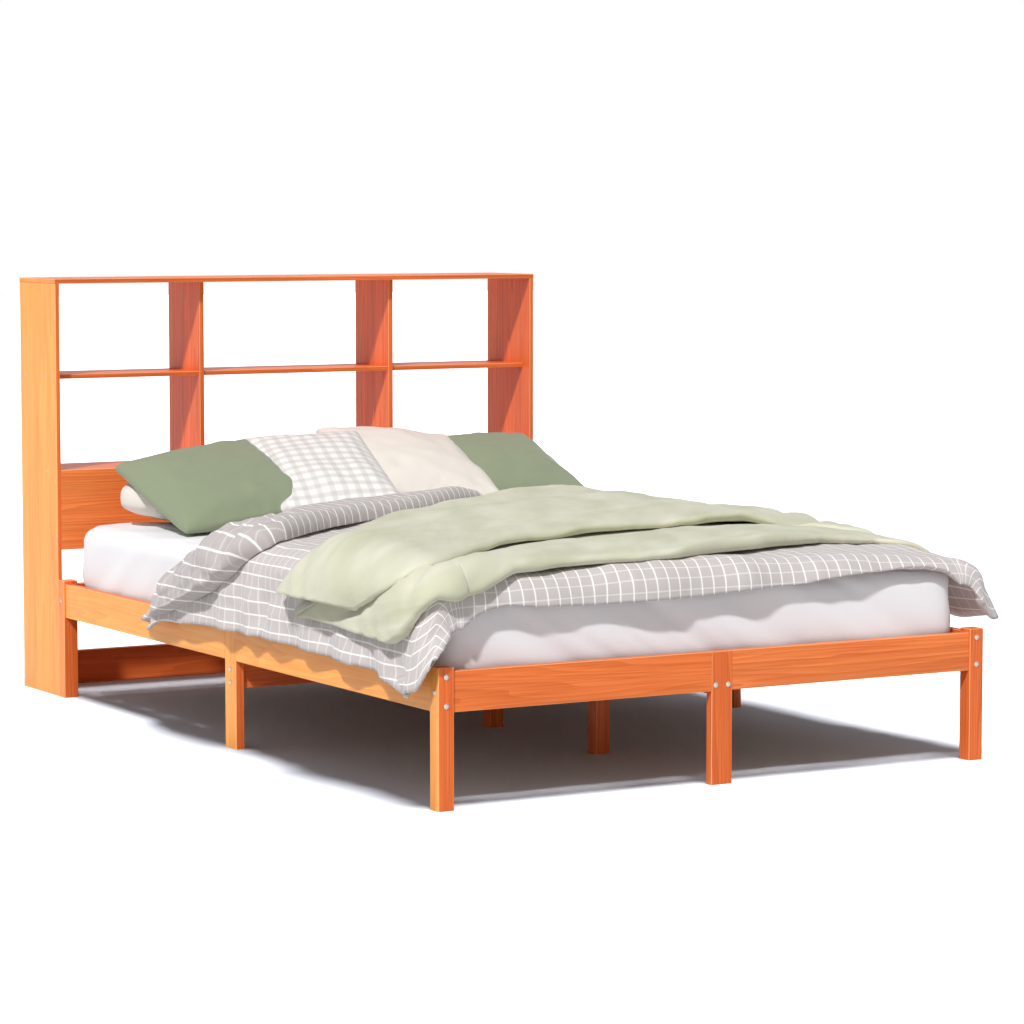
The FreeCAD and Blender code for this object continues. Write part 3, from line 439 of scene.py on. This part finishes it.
# the bed's shape under its covers: "along" is counted from the foot end
hood = {
    "footEnd": -1.0395,         # its y
    "top": 0.507,               # height of the flat top
    "shoulder": 0.666,          # half the flat top's width
    "footShoulder": 0.066,      # where the top starts to round over at the foot
    "sideOut": 0.084,           # how far the rounding reaches out
    "footOut": 0.055,
    "cornerOut": 0.018,         # and further in between
    "down": 0.067,              # how far it reaches down
    "arc": 0.119,               # length of cloth over it
    "swell": 0.010,             # how much higher the middle is
    "footSag": 0.012,           # how much lower the foot end, the right side and their corner are
    "rightSag": 0.016,
    "cornerSag": 0.008,
    "leanLeft": (0.05, 0.22),   # lean outwards of the hanging cloth, and more at the left corner
    "leanRight": (0.07, 0.48),  # and at the right tip
}


# a point r past the shoulder, going over the edge in direction phi, 0 sideways and a right angle
# towards the foot: a quarter ellipse first, then straight down with a lean outwards
def overEdge(across, along, r, phi):
    right = np.where(across > 0, 1.0, -1.0)
    lean = leanOut(across, along, phi)
    out = hood["sideOut"] * np.cos(phi) ** 2 + hood["footOut"] * np.sin(phi) ** 2
    out = out + hood["cornerOut"] * np.sin(2 * phi) ** 2
    alpha = np.clip(r / hood["arc"], 0, 1) * math.pi / 2
    beyond = np.maximum(r - hood["arc"], 0)
    run = out * np.sin(alpha) + beyond * lean
    drop = hood["down"] * (1 - np.cos(alpha)) + beyond * np.sqrt(1 - lean ** 2)
    along = np.maximum(along, hood["footShoulder"])
    x = right * (np.minimum(np.abs(across), hood["shoulder"]) + run * np.cos(phi))
    y = hood["footEnd"] + along - run * np.sin(phi)
    middle = np.clip(across, -hood["shoulder"], hood["shoulder"])
    return np.stack([x, y, topHeight(middle, along) - drop], -1)


# height of the top: it swells as 1 - x^2 along the middle, and sinks by smooth steps towards the
# foot and the right side, and as a bell curve exp(-d^2) at the right foot corner
def topHeight(across, along):
    swell = hood["swell"] * np.clip(1 - (across / 0.75) ** 2, 0, 1)
    footSag = hood["footSag"] * (1 - smoothStep(along, 0.0, 0.55))
    rightSag = hood["rightSag"] * smoothStep(across, 0.2, 0.68)
    bell = np.exp(-(((across - 0.72) / 0.22) ** 2 + ((along - 0.02) / 0.30) ** 2))
    cornerSag = np.where(across > 0, hood["cornerSag"] * bell, 0)
    return hood["top"] + swell - footSag - rightSag - cornerSag


# lean of the cloth that hangs past the edge: a steady part and a bell curve exp(-d^2) about the
# left foot corner's direction, or the right tip's
def leanOut(across, along, phi):
    corner = np.exp(-((phi - 0.75) / 0.5) ** 2)
    rightTip = np.exp(-((phi - 0.15) / 0.45) ** 2 - (np.maximum(along - 0.03, 0) / 0.50) ** 2)
    (left, more), (right, moreRight) = hood["leanLeft"], hood["leanRight"]
    return np.where(across > 0, right + moreRight * rightTip, left + more * corner)


# how far a place is past the shoulders, the larger of p to the side and q to the foot, and in
# which direction: 45 degrees times the smaller over the larger, counted from the nearer of the two
def pastShoulder(p, q):
    r = np.maximum(p, q)
    share = math.pi / 4 * np.minimum(p, q) / np.maximum(r, 1e-6)
    return r, np.where(p >= q, share, math.pi / 2 - share)


# the point of the covered bed at a distance across and along, measured over the cloth
def onHood(across, along):
    p = np.maximum(np.abs(across) - hood["shoulder"], 0)
    q = np.maximum(hood["footShoulder"] - along, 0)
    return overEdge(across, along, *pastShoulder(p, q))


# reads a line of (place, value) pairs, both in millimetres, straight between them
def table(x, pairs):
    places, values = np.array(pairs).T / 1000
    return np.interp(x, places, values)


# mattress with its fitted sheet
mattress = {
    "edge": 0.050,          # radius of its top and bottom edges
    "corner": 0.055,        # and of its corners, seen from above
    "rings": 64, "rays": 480,
    "faceRings": 0.30,      # share of the rings that close each flat face
    "moreAtCorners": 0.12,  # how far the rays lean towards the corners
    "tension": 0.0055,      # how deep the elastic draws the sheet in on the sides
}


# keeps padding above the mattress, whose top edges round over by sqrt(r^2 - d^2), by a gap
def outsideBed(points, gap):
    low, high = (np.array(corner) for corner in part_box("mattress"))
    r = mattress["edge"]
    flatHalf = (high - low)[:2] / 2 - r
    d = np.maximum(np.abs(points[..., :2] - (low + high)[:2] / 2) - flatHalf, 0)
    d = np.hypot(d[..., 0], d[..., 1])
    top = high[2] - r + np.sqrt(np.maximum(r * r - d * d, 0))
    points[..., 2] = np.where(d < r, np.maximum(points[..., 2], top + gap), points[..., 2])
    return points


# points of a rectangle with round corners, its half sizes w and l, met by rays from its middle:
# the nearer of its two sides, or the corner circle about (dx, dy) where the ray runs into that
def roundedRectangle(w, l, radius, turn):
    c, s = np.abs(np.cos(turn)), np.abs(np.sin(turn))
    reach = np.minimum(w / np.maximum(c, 1e-9), l / np.maximum(s, 1e-9))
    dx, dy = w - radius, l - radius
    inCorner = (c * reach > dx) & (s * reach > dy)
    along = c * dx + s * dy
    toCircle = along + np.sqrt(np.maximum(along ** 2 - dx ** 2 - dy ** 2 + radius ** 2, 0))
    reach = np.where(inCorner, toCircle, reach)
    return np.cos(turn) * reach, np.sin(turn) * reach


# a closed tube of level rings: out over the underside, up a quarter circle, the side and another
# quarter circle, and in over the top; each ring is a rounded rectangle
def makeMattress():
    low, high = (np.array(corner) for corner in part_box("mattress"))
    half = (high - low) / 2
    edge, faceRings = mattress["edge"], mattress["faceRings"]
    turn = np.linspace(0, 2 * math.pi, mattress["rays"], endpoint=False)
    turn = turn - mattress["moreAtCorners"] * np.sin(4 * turn + 0.35)
    t = np.linspace(0, 1, mattress["rings"])[:, None]
    fromEnd = np.minimum(t, 1 - t)
    spread = 1 - np.maximum(1 - fromEnd / faceRings, 0) ** 0.9
    # length s up the profile, and the angles done of the lower and the upper quarter circle
    quarter, side = math.pi / 2 * edge, 2 * (half[2] - edge)
    s = np.clip((t - faceRings) / (1 - 2 * faceRings), 0, 1) * (side + 2 * quarter)
    lower = np.clip(s / edge, 0, math.pi / 2)
    upper = np.clip((s - quarter - side) / edge, 0, math.pi / 2)
    z = edge * (1 - np.cos(lower)) + np.clip(s - quarter, 0, side) + edge * np.sin(upper) - half[2]
    pull = edge * (2 - np.sin(lower) - np.cos(upper))
    radius = mattress["corner"] - pull * 0.5
    x, y = roundedRectangle(half[0] - pull, half[1] - pull, radius, turn)
    points = np.stack([x * spread, y * spread, z + 0 * x], -1)
    uv = np.stack([points[..., 0] + points[..., 2], points[..., 1]], -1)
    # slanted creases drawn by the elastic, a coarse and a fine noise, deepest on the sides
    u, v = points[..., 0] + points[..., 1], points[..., 2]
    crease = 0.9 * softNoise(u * 9 + v * 14, v * 3 + u * 1.1, 11)
    crease = crease + 0.6 * softNoise(u * 22 + v * 30, v * 5, 12, 2)
    depth = mattress["tension"] * (1.3 + crease) * smoothStep(fromEnd, 0.18, 0.36)
    points = points - outwardNormals(points, (0, 0, 0)) * depth[..., None] + (low + high) / 2
    quads = gridQuads(mattress["rings"], mattress["rays"], wrap=True)
    return meshPiece("fitted_sheet_mattress", points, quads, uv)


# a cloth of one colour: a soft sheen from its nap, and bumps the size of its yarns, drawn coarser
# than the real ones so that they show
def clothMaterial(name, colour, roughness, sheen, yarn, detail=2.0, strength=0.3, depth=0.0006):
    material, tree, shader = newMaterial(name, {
        "Base Color": linearColour(colour), "Roughness": roughness, "Sheen Weight": sheen})
    uv = addNode(tree, "ShaderNodeUVMap", uv_map="cloth").outputs[0]
    noise = addNode(tree, "ShaderNodeTexNoise", {"Vector": uv, "Scale": 1 / yarn, "Detail": detail})
    bump = addNode(tree, "ShaderNodeBump",
                   {"Strength": strength, "Distance": depth, "Height": noise})
    tree.links.new(bump.outputs[0], shader.inputs["Normal"])
    return material, tree, shader, uv


mattressPiece = makeMattress()
# cotton jersey, knitted fine and stretched: white, smooth and soft
jersey = clothMaterial("jersey_cotton_white", "#EEEDF0", 0.85, 0.15, yarn=0.00143, detail=1.0,
                       strength=0.2, depth=0.0004)
mattressPiece.data.materials.append(jersey[0])
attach(mattressPiece, "bedding")
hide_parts("mattress")
print("mattress")

# duvet: a padded cover over the hood; its lines are pairs of millimetres, and a hem's value is
# the length of cloth past the shoulder
duvet = {
    "leftHem": [
        (-60, 240), (7, 262), (90, 313), (125, 300), (216, 276), (287, 273), (443, 275), (584, 271),
        (751, 267), (912, 268), (1104, 270), (1315, 282), (1457, 295), (1700, 290)],
    "rightHem": [
        (-60, 206), (50, 212), (200, 225), (500, 245), (900, 240), (1300, 245), (1700, 240)],
    "footHem": [
        (-666, 160), (-645, 143), (-595, 123), (-545, 118), (-470, 127), (-318, 133), (-214, 133),
        (-56, 131), (105, 122), (214, 118), (355, 95), (505, 68), (585, 60), (640, 75), (666, 110)],
    "crease": [
        (-966, 1490), (-934, 1425), (-898, 1400), (-863, 1363), (-826, 1309), (-791, 1244),
        (-760, 1180), (-733, 1143), (-710, 1118), (-680, 1125), (-582, 1220), (-440, 1350),
        (-352, 1404), (-285, 1435), (-154, 1510), (-44, 1560), (31, 1590), (200, 1660),
        (320, 1700), (966, 1705)],
    "thickTop": 0.040, "thickSide": 0.020, "thickHem": 0.006,
    "columns": 200, "rows": 235,
    "topShare": 0.74,       # share of the columns that lie on the flat top
    "footShare": 0.075,     # share of the rows that hang over the foot end
    "sideReach": 0.28,      # how far past the shoulder the crease line is read at the side hems
    "headDrop": 0.022,      # how much the head edge sinks under the turned-down part
    "lumps": (0.0050, 0.0030, 0.0050),  # height of coarse and fine ones, and of the left hem's
    "hemWave": (0.008, 38),             # height and pace of the waves along the side hems
    "footWave": (0.005, 24),            # and along the foot hem
    "gapOutside": 0.007, "gapInside": 0.001,    # to the mattress at its edges
}


# grid of f across (-1 to 1) and g along (0 at the foot hem, 1 at the crease): both are shared out
# between the flat top and the hanging hems, laid over the hood and lumped by noise; the inner
# surface lies under the outer one by the padding's thickness
def makeDuvet():
    f, g = np.meshgrid(np.linspace(-1, 1, duvet["columns"]), np.linspace(0, 1, duvet["rows"]))
    topShare, footShare = duvet["topShare"], duvet["footShare"]
    overSide = np.maximum((np.abs(f) - topShare) / (1 - topShare), 0)
    overFoot = np.maximum((footShare - g) / footShare, 0)
    across = np.sign(f) * np.minimum(np.abs(f), topShare) / topShare * hood["shoulder"]
    crease = table(across + np.sign(f) * overSide * duvet["sideReach"], duvet["crease"])
    upBed = np.maximum(g - footShare, 0) / (1 - footShare)
    along = hood["footShoulder"] + upBed * (crease - hood["footShoulder"])
    sideDrop = np.where(f < 0, table(along, duvet["leftHem"]), table(along, duvet["rightHem"]))
    footDrop = table(across, duvet["footHem"])
    overBoth, phi = pastShoulder(overSide, overFoot)
    toSide = smoothStep(np.cos(phi) ** 2)
    drop = footDrop * (1 - toSide) + sideDrop * toSide
    surface = overEdge(across, along, overBoth * drop, phi)

    uv = np.stack([across + np.sign(f) * overSide * sideDrop, along - overFoot * footDrop], -1)
    u, v = uv[..., 0], uv[..., 1]
    coarse, finer, crumpled = duvet["lumps"]
    lumps = coarse * softNoise(u * 5, v * 4, 21) + finer * softNoise(u * 14 + 3, v * 9, 22, 2)
    lumps += crumpled * softNoise(u * 26, v * 24, 25, 2) * smoothStep(-f, 0.72, 0.95)
    # waves along the hems, where the cloth has width to spare
    for (high, pace), place, other, over, seed in ((duvet["hemWave"], v, u, overSide, 23),
                                                   (duvet["footWave"], u, v, overFoot, 24)):
        wave = np.sin(place * pace + 2 * softNoise(place * 4, other * 2, seed, 1))
        lumps += high * wave * smoothStep(over, 0.2, 1.0)
    surface = surface + outwardNormals(surface) * lumps[..., None]
    surface[..., 2] -= duvet["headDrop"] * (1 - smoothStep(crease - along, 0.0, 0.12))
    surface = outsideBed(surface, duvet["gapOutside"])

    hanging = smoothStep(overBoth, 0.1, 0.6)
    thick = duvet["thickTop"] * (1 - hanging) + duvet["thickSide"] * hanging
    body = smoothStep(1 - overBoth, 0, 0.12) * smoothStep(1 - g, 0, 0.02)
    thick = duvet["thickHem"] + (thick - duvet["thickHem"]) * body
    inner = outsideBed(surface - outwardNormals(surface) * thick[..., None], duvet["gapInside"])
    return shellPiece("duvet_body", surface, inner, uv)


# the turned-down corner: a padded flap between the crease and its free edge, across the bed
flap = {
    "free": [
        (-966, 1476), (-951, 1404), (-928, 1318), (-889, 1178), (-845, 1043), (-796, 940),
        (-753, 877), (-712, 830), (-665, 850), (-550, 960), (-452, 1043), (-323, 1130),
        (-178, 1205), (-10, 1320), (200, 1510), (320, 1610), (520, 1665)],
    "left": -0.966, "right": 0.520,
    "pastCrease": 0.012,
    "thick": 0.042,
    "rim": 0.002,                   # half thickness at its rim, and the width of its rounding
    "rimRound": 0.035,
    "pressed": (0.10, 0.46, 0.7),   # from, to and by how much it is pressed flat under the pillows
    "gap": 0.004,                   # height over the hood, and how much lower it is at the crease
    "sink": 0.034,
    "lumps": 0.005,                 # height of soft lumps, and of the left tip's tight ones
    "crumple": 0.013,
    "columns": 290, "rows": 150,
}


# grid of u across and w from the crease (0) to the free edge (1), laid on the hood; its half
# thickness rises from the rim as a quarter circle, sqrt(1 - (1 - d)^2)
def makeFlap():
    u, w = np.meshgrid(np.linspace(flap["left"], flap["right"], flap["columns"]),
                       np.linspace(0, 1, flap["rows"]))
    crease = table(u, duvet["crease"]) + flap["pastCrease"]
    free = table(u, flap["free"])
    v = crease + (free - crease) * w
    base = onHood(u, v)
    normal = outwardNormals(base)
    nearest = np.minimum(np.minimum(crease - v, v - free), u - flap["left"])
    body = np.sqrt(1 - (1 - np.clip(nearest / flap["rimRound"], 0, 1)) ** 2)
    start, end, share = flap["pressed"]
    thick = flap["thick"] / 2 * (1 - share * smoothStep(u, start, end))
    half = flap["rim"] + (thick - flap["rim"]) * body
    centre = flap["gap"] + half - flap["sink"] * (1 - smoothStep(crease - v, 0.0, 0.16))
    lumps = flap["lumps"] * softNoise(u * 7 + 5, v * 6, 32)
    lumps += flap["crumple"] * softNoise(u * 21, v * 17, 31) * smoothStep(-u, 0.45, 0.75)
    lumps *= smoothStep(nearest, 0.0, 0.05)
    outer = base + normal * (centre + half + lumps)[..., None]
    inner = base + normal * (centre - half)[..., None]
    return shellPiece("duvet_turn_down", outer, inner, np.stack([u, v], -1))


linedCotton = {
    # brushed cotton, woven with white lines about every 31 mm, the cross lines paler
    "brushed_cotton_grey": {
        "ground": "#C6BEBC", "line": "#F6F5F2", "strength": (0.95, 0.40), "pitch": 0.031,
        "half": 0.06},
    # its inner face, a little darker
    "brushed_cotton_grey_inside": {
        "ground": "#B9B1AF", "line": "#F6F5F2", "strength": (0.95, 0.25), "pitch": 0.031,
        "half": 0.06},
    # a woven check for a pillow: broad pale grey bands that darken where they cross
    "woven_check": {
        "ground": "#ECE9E6", "line": "#B4AFAB", "strength": (0.40, 0.40), "pitch": 0.034,
        "half": 0.22},
}


# cotton with lines both ways: a line runs where the place over the pitch has a fraction within
# the half width of one half, and fades out about that
def linedMaterial(name):
    kit = linedCotton[name]
    material, tree, shader, uv = clothMaterial(name, kit["ground"], 0.9, 0.2, yarn=0.00238)
    place = addNode(tree, "ShaderNodeSeparateXYZ", (uv,)).outputs
    colour = linearColour(kit["ground"])
    full, none = kit["half"] * 0.67, kit["half"] * 1.33
    for axis, strength in enumerate(kit["strength"]):
        pitches = addNode(tree, "ShaderNodeMath", (place[axis], kit["pitch"]), operation="DIVIDE")
        part = addNode(tree, "ShaderNodeMath", (pitches,), operation="FRACT")
        away = addNode(tree, "ShaderNodeMath", (part, 0.5), operation="SUBTRACT")
        away = addNode(tree, "ShaderNodeMath", (away,), operation="ABSOLUTE")
        share = addNode(tree, "ShaderNodeMapRange", (away, full, none, strength, 0.0))
        colour = addNode(tree, "ShaderNodeMix", {0: share, 6: colour, 7: linearColour(kit["line"])},
                         data_type="RGBA").outputs[2]
    tree.links.new(colour, shader.inputs["Base Color"])
    return material


duvetPiece = makeDuvet()
duvetPiece.data.materials.append(linedMaterial("brushed_cotton_grey"))
flapPiece = makeFlap()
flapPiece.data.materials.append(linedMaterial("brushed_cotton_grey_inside"))
for piece in (duvetPiece, flapPiece):
    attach(piece, "bedding")
    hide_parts("duvet")
print("duvet")

# throw: one cloth folded back on itself twice, lying across the duvet in two bands
throw = {
    "back": [
        (-811, 671), (-772, 631), (-746, 613), (-715, 604), (-639, 678), (-508, 830), (-388, 948),
        (-247, 1067), (-106, 1171), (44, 1287), (242, 1480), (420, 1640), (800, 1690)],
    "upperFront": [
        (-841, 401), (-825, 331), (-814, 285), (-781, 213), (-760, 142), (-733, 97), (-689, 90),
        (-604, 149), (-493, 234), (-405, 298), (-294, 356), (-195, 388), (-92, 424), (4, 448),
        (139, 485), (259, 497), (413, 545), (560, 540), (650, 440), (800, 360)],
    "lowerFront": [
        (-863, 119), (-842, 72), (-800, 0), (-760, -25), (-718, -30), (-619, -16), (-564, 7),
        (-518, 29), (-454, 32), (-398, 44), (-292, 50), (-191, 45), (-80, 55), (62, 109),
        (192, 141), (344, 201), (446, 258), (516, 264), (624, 290), (690, 240), (800, 190)],
    "leftUpper": -0.812,    # where the upper band, the layer under it and the lower band end
    "leftUnder": -0.800,
    "leftLower": -0.863,
    "right": 0.790,
    "tuck": 0.17,           # how far the cloth runs back under the upper band
    "height": 0.040,        # of the upper band's front fold over the duvet
    "arch": 0.016,          # and more in the middle of that band
    "openEnd": 0.014,       # how much the upper band's left end gapes
    "folds": (0.010, 0.004),    # depth of the soft folds along the bands, and of finer ones
    "thick": 0.004,
    "flat": (1.60, 1.75),
    "columns": 205,
    "shades": ("#C2C3A6", "#D8D6C1"),
    "patch": 0.167,         # size of a patch of one shade
}


# rows of the throw's profile: the shares of the back, upper front, tuck and lower front lines,
# the distance past them, and the height over the duvet
def profileRows(*columns):
    return np.column_stack(np.broadcast_arrays(*columns))


# profile rows from the back hem to the hidden end, each placed between the lines, lifted off the
# hood along its normal, and given half the cloth's thickness each way; a fold is half an ellipse
def makeThrow():
    high = throw["height"]
    k, a = np.linspace(0, 1, 90), np.linspace(0, math.pi, 14)[1:-1]
    rise = 0.010 + (high - 0.010) * smoothStep(k, 0.0, 0.22)
    rise = rise + throw["arch"] * np.sin(math.pi * k) ** 0.8
    upperBand = profileRows(1 - k, k, 0, 0, 0.012 * k, rise)
    upperFold = profileRows(
        0, 1, 0, 0, 0.012 - 0.014 * np.sin(a), high - 0.009 + 0.009 * np.cos(a))
    k = np.linspace(0, 1, 16)
    toTuck = profileRows(0, 1 - k, k, 0, 0.012, 0.022)
    innerA = np.linspace(0, math.pi, 10)[1:-1]
    tuckFold = profileRows(
        0, 0, 1, 0, 0.012 + 0.004 * np.sin(innerA), 0.019 + 0.003 * np.cos(innerA))
    k = np.linspace(0, 1, 70)
    lowerBand = profileRows(
        0, 0, 1 - k, k, 0.012 + 0.002 * k, 0.012 + 0.018 * smoothStep(k, 0.35, 0.62))
    lowerFold = profileRows(0, 0, 0, 1, 0.014 - 0.015 * np.sin(a), 0.0175 + 0.0125 * np.cos(a))
    k = np.linspace(0, 1, 12)
    hidden = profileRows(0, 0, 0, 1, 0.014 + 0.11 * k, 0.005)
    rows = np.concatenate([upperBand, upperFold, toTuck, tuckFold, lowerBand, lowerFold, hidden])

    # each layer ends a little differently at the left side, and changes over inside a fold
    upperRows = len(upperBand) + len(upperFold) // 2
    underRows = len(upperBand) + len(upperFold) + len(toTuck) + len(tuckFold) // 2
    ends = np.full((len(rows), 1), throw["leftLower"])
    ends[:upperRows] = throw["leftUpper"]
    ends[upperRows:underRows] = throw["leftUnder"]
    across = ends + (throw["right"] - ends) * np.linspace(0, 1, throw["columns"])
    back, upper, lower = (table(across, throw[k]) for k in ("back", "upperFront", "lowerFront"))
    back, lower = np.maximum(back, upper + 0.03), np.minimum(lower, upper - 0.02)
    under = np.minimum(upper + throw["tuck"], back - 0.02)
    toBack, toUpper, toUnder, toLower, past, height = (rows[:, [k]] for k in range(6))
    v = toBack * back + toUpper * upper + toUnder * under + toLower * lower + past
    # thinner over the right side, and lifted open at the left end
    lift = height * (1 - 0.45 * smoothStep(across, 0.35, 0.72))
    gape = throw["openEnd"] * (1 - smoothStep(across, -0.84, -0.66)) * smoothStep(v, 0.35, 0.5)
    lift[:upperRows] += gape[:upperRows]

    # the hood's normals, from a small step either way
    e = 0.003
    stepAcross = onHood(across + e, v) - onHood(across - e, v)
    normal = np.cross(stepAcross, onHood(across, v + e) - onHood(across, v - e))
    normal /= np.linalg.norm(normal, axis=-1, keepdims=True)
    slope = v - 0.55 * across
    folds = throw["folds"][0] * softNoise(across * 1.8, slope * 13, 41, 2)
    folds += throw["folds"][1] * softNoise(across * 8, slope * 24, 42, 2)
    lift = lift + folds * smoothStep(lift, 0.01, 0.03)
    middle = onHood(across, v) + normal * lift[..., None]
    offset = gridNormals(middle) * throw["thick"] / 2
    # the cloth's own length down each column is its second UV coordinate
    steps = np.linalg.norm(np.diff(middle, axis=0, prepend=middle[:1]), axis=-1)
    uv = np.stack([across, steps.cumsum(0)], -1)
    return shellPiece("throw_cloth", middle + offset, middle - offset, uv)


# Cotton flannel, dyed sage and brushed: a dull nap in two close shades, in soft patches.
def makeThrowMaterial():
    name, (dark, pale) = "cotton_flannel_sage", throw["shades"]
    material, tree, shader, uv = clothMaterial(name, dark, 0.95, 0.35, yarn=0.002)
    cloud = addNode(tree, "ShaderNodeTexNoise",
                    {"Vector": uv, "Scale": 1 / throw["patch"], "Detail": 3.0})
    share = addNode(tree, "ShaderNodeMapRange", (cloud, 0.35, 0.65, 0.0, 1.0))
    colour = addNode(tree, "ShaderNodeMix",
                     {0: share, 6: linearColour(dark), 7: linearColour(pale)}, data_type="RGBA")
    tree.links.new(colour.outputs[2], shader.inputs["Base Color"])
    return material


throwPiece = makeThrow()
throwPiece.data.materials.append(makeThrowMaterial())
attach(throwPiece, "bedding")
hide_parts("throw_blanket")
print("throw")

# pillows: two sewn layers blown up by a cloth simulation, then laid in place; "turn" is degrees
# about x, y and z, and "roundness" draws the corners in
pillows = {
    "pillow_cream_lying": {
        "size": (0.46, 0.24), "thickness": 0.150, "roundness": 0.9, "pressure": 2.5,
        "plump": 0.42,      # a low power keeps it thick close to its seams
        "centre": (-0.400, 0.86, 0.5345), "turn": (0, 0, 0), "slot": "cream_pillow",
    },
    "pillow_green_left": {
        "size": (0.40, 0.42), "thickness": 0.115, "roundness": 0.06, "pressure": 1.0,
        "centre": (-0.420, 0.709, 0.570), "turn": (20.3, -9.0, 3.9), "slot": "sage_pillow",
    },
    "pillow_green_right": {
        "size": (0.44, 0.41), "thickness": 0.11, "roundness": 0.06, "pressure": 1.0,
        "centre": (0.458, 0.812, 0.568), "turn": (22.2, -2.0, 1.7), "slot": "sage_pillow",
    },
    "pillow_cream": {
        "size": (0.40, 0.48), "thickness": 0.115, "roundness": 0.10, "pressure": 1.0,
        "centre": (0.180, 0.775, 0.600), "turn": (17.0, 4.5, -9.0), "slot": "cream_pillow",
    },
    "pillow_checked": {
        "size": (0.33, 0.45), "thickness": 0.09, "roundness": 0.06, "pressure": 0.8,
        "centre": (-0.137, 0.672, 0.600), "turn": (20.5, -3.1, -10.7), "slot": "checked_pillow",
    },
}
pillowCase = {
    "cell": 0.012,          # mesh size
    "gap": 0.003,           # half the distance between the flat layers
    "frames": 24,           # of the simulation
    "dent": 0.006,          # depth of the soft dents
    "bedTop": 0.4665,       # the underside settles on it, each pillow a little higher
    "higher": 0.0005,
    "cloth": {"quality": 6, "mass": 0.25, "tension_stiffness": 12, "compression_stiffness": 12,
              "shear_stiffness": 6, "bending_stiffness": 0.4, "air_damping": 2,
              "use_pressure": True},
}


# flat closed shape, its two layers joined along the seam: a grid whose width and depth each
# shrink as sqrt(1 - roundness * t^2 / 2) towards the corners
def flatPillow(name, size, roundness):
    across, deep = (int(round(s / pillowCase["cell"])) + 1 for s in size)
    f, g = np.meshgrid(np.linspace(-1, 1, across), np.linspace(-1, 1, deep))
    x = f * np.sqrt(1 - roundness * g ** 2 / 2) * size[0] / 2
    y = g * np.sqrt(1 - roundness * f ** 2 / 2) * size[1] / 2
    top = np.stack([x, y, np.full(x.shape, pillowCase["gap"])], -1)
    return shellPiece(name, top, top * np.array([1, 1, -1]), np.stack([x, y], -1))


# the piece's points after the cloth simulation has blown it up, with no gravity
def inflate(piece, pressure):
    cloth = piece.modifiers.new("cloth", "CLOTH")
    for name, value in pillowCase["cloth"].items():
        setattr(cloth.settings, name, value)
    cloth.settings.uniform_pressure_force = pressure
    cloth.settings.effector_weights.gravity = 0
    cloth.point_cache.frame_start = 1
    cloth.point_cache.frame_end = pillowCase["frames"]
    for step in range(1, pillowCase["frames"] + 1):
        bpy.context.scene.frame_set(step)
    shape = piece.evaluated_get(bpy.context.evaluated_depsgraph_get())
    points = np.zeros(len(shape.data.vertices) * 3, np.float32)
    shape.data.vertices.foreach_get("co", points)
    piece.modifiers.remove(cloth)
    bpy.context.scene.frame_set(1)
    return points.reshape(-1, 3).astype(float)


# turn about y first, then about x, then about z, as the product of the three matrices
def rotation(degrees):
    (ca, cb, cc), (sa, sb, sc) = np.cos(np.radians(degrees)), np.sin(np.radians(degrees))
    rx = np.array([[1, 0, 0], [0, ca, -sa], [0, sa, ca]])
    ry = np.array([[cb, 0, sb], [0, 1, 0], [-sb, 0, cb]])
    rz = np.array([[cc, -sc, 0], [sc, cc, 0], [0, 0, 1]])
    return rz @ rx @ ry


# the blown-up shape with its height scaled to the thickness, as (height / full) ^ plump, then
# dented by noise away from the seam, turned and moved
def makePillow(name, kit, seed):
    piece = flatPillow(name + "_cushion", kit["size"], kit["roundness"])
    x, y, z = inflate(piece, kit["pressure"]).T
    side = np.sign(z)
    z = side * (np.abs(z) / np.abs(z).max()) ** kit.get("plump", 1) * kit["thickness"] / 2
    wave = softNoise(x * 9 + seed, y * 9, seed) * pillowCase["dent"]
    z = z + wave * side * smoothStep(np.abs(z), 0.005, 0.03)
    points = np.stack([x, y, z], -1) @ rotation(kit["turn"]).T + np.array(kit["centre"])
    lowest = pillowCase["bedTop"] + pillowCase["higher"] * seed
    points[:, 2] = np.maximum(points[:, 2], lowest)
    piece.data.vertices.foreach_set("co", points.astype(np.float32).ravel())
    piece.data.update()
    smooth = piece.modifiers.new("smooth", "SUBSURF")
    smooth.levels = smooth.render_levels = 1
    return piece


covers = {
    # plain cotton, dyed sage: even and soft
    "sage_pillow": clothMaterial("cotton_sage", "#879175", 0.92, 0.2, yarn=0.00222)[0],
    # linen, washed: warm cream and dull
    "cream_pillow": clothMaterial("linen_cream", "#E2DBD2", 0.92, 0.1, yarn=0.00222)[0],
    "checked_pillow": linedMaterial("woven_check"),
}
for index, (name, kit) in enumerate(pillows.items()):
    piece = makePillow(name, kit, index)
    piece.data.materials.append(covers[kit["slot"]])
    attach(piece, "bedding")
    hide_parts(name)
print("pillows")
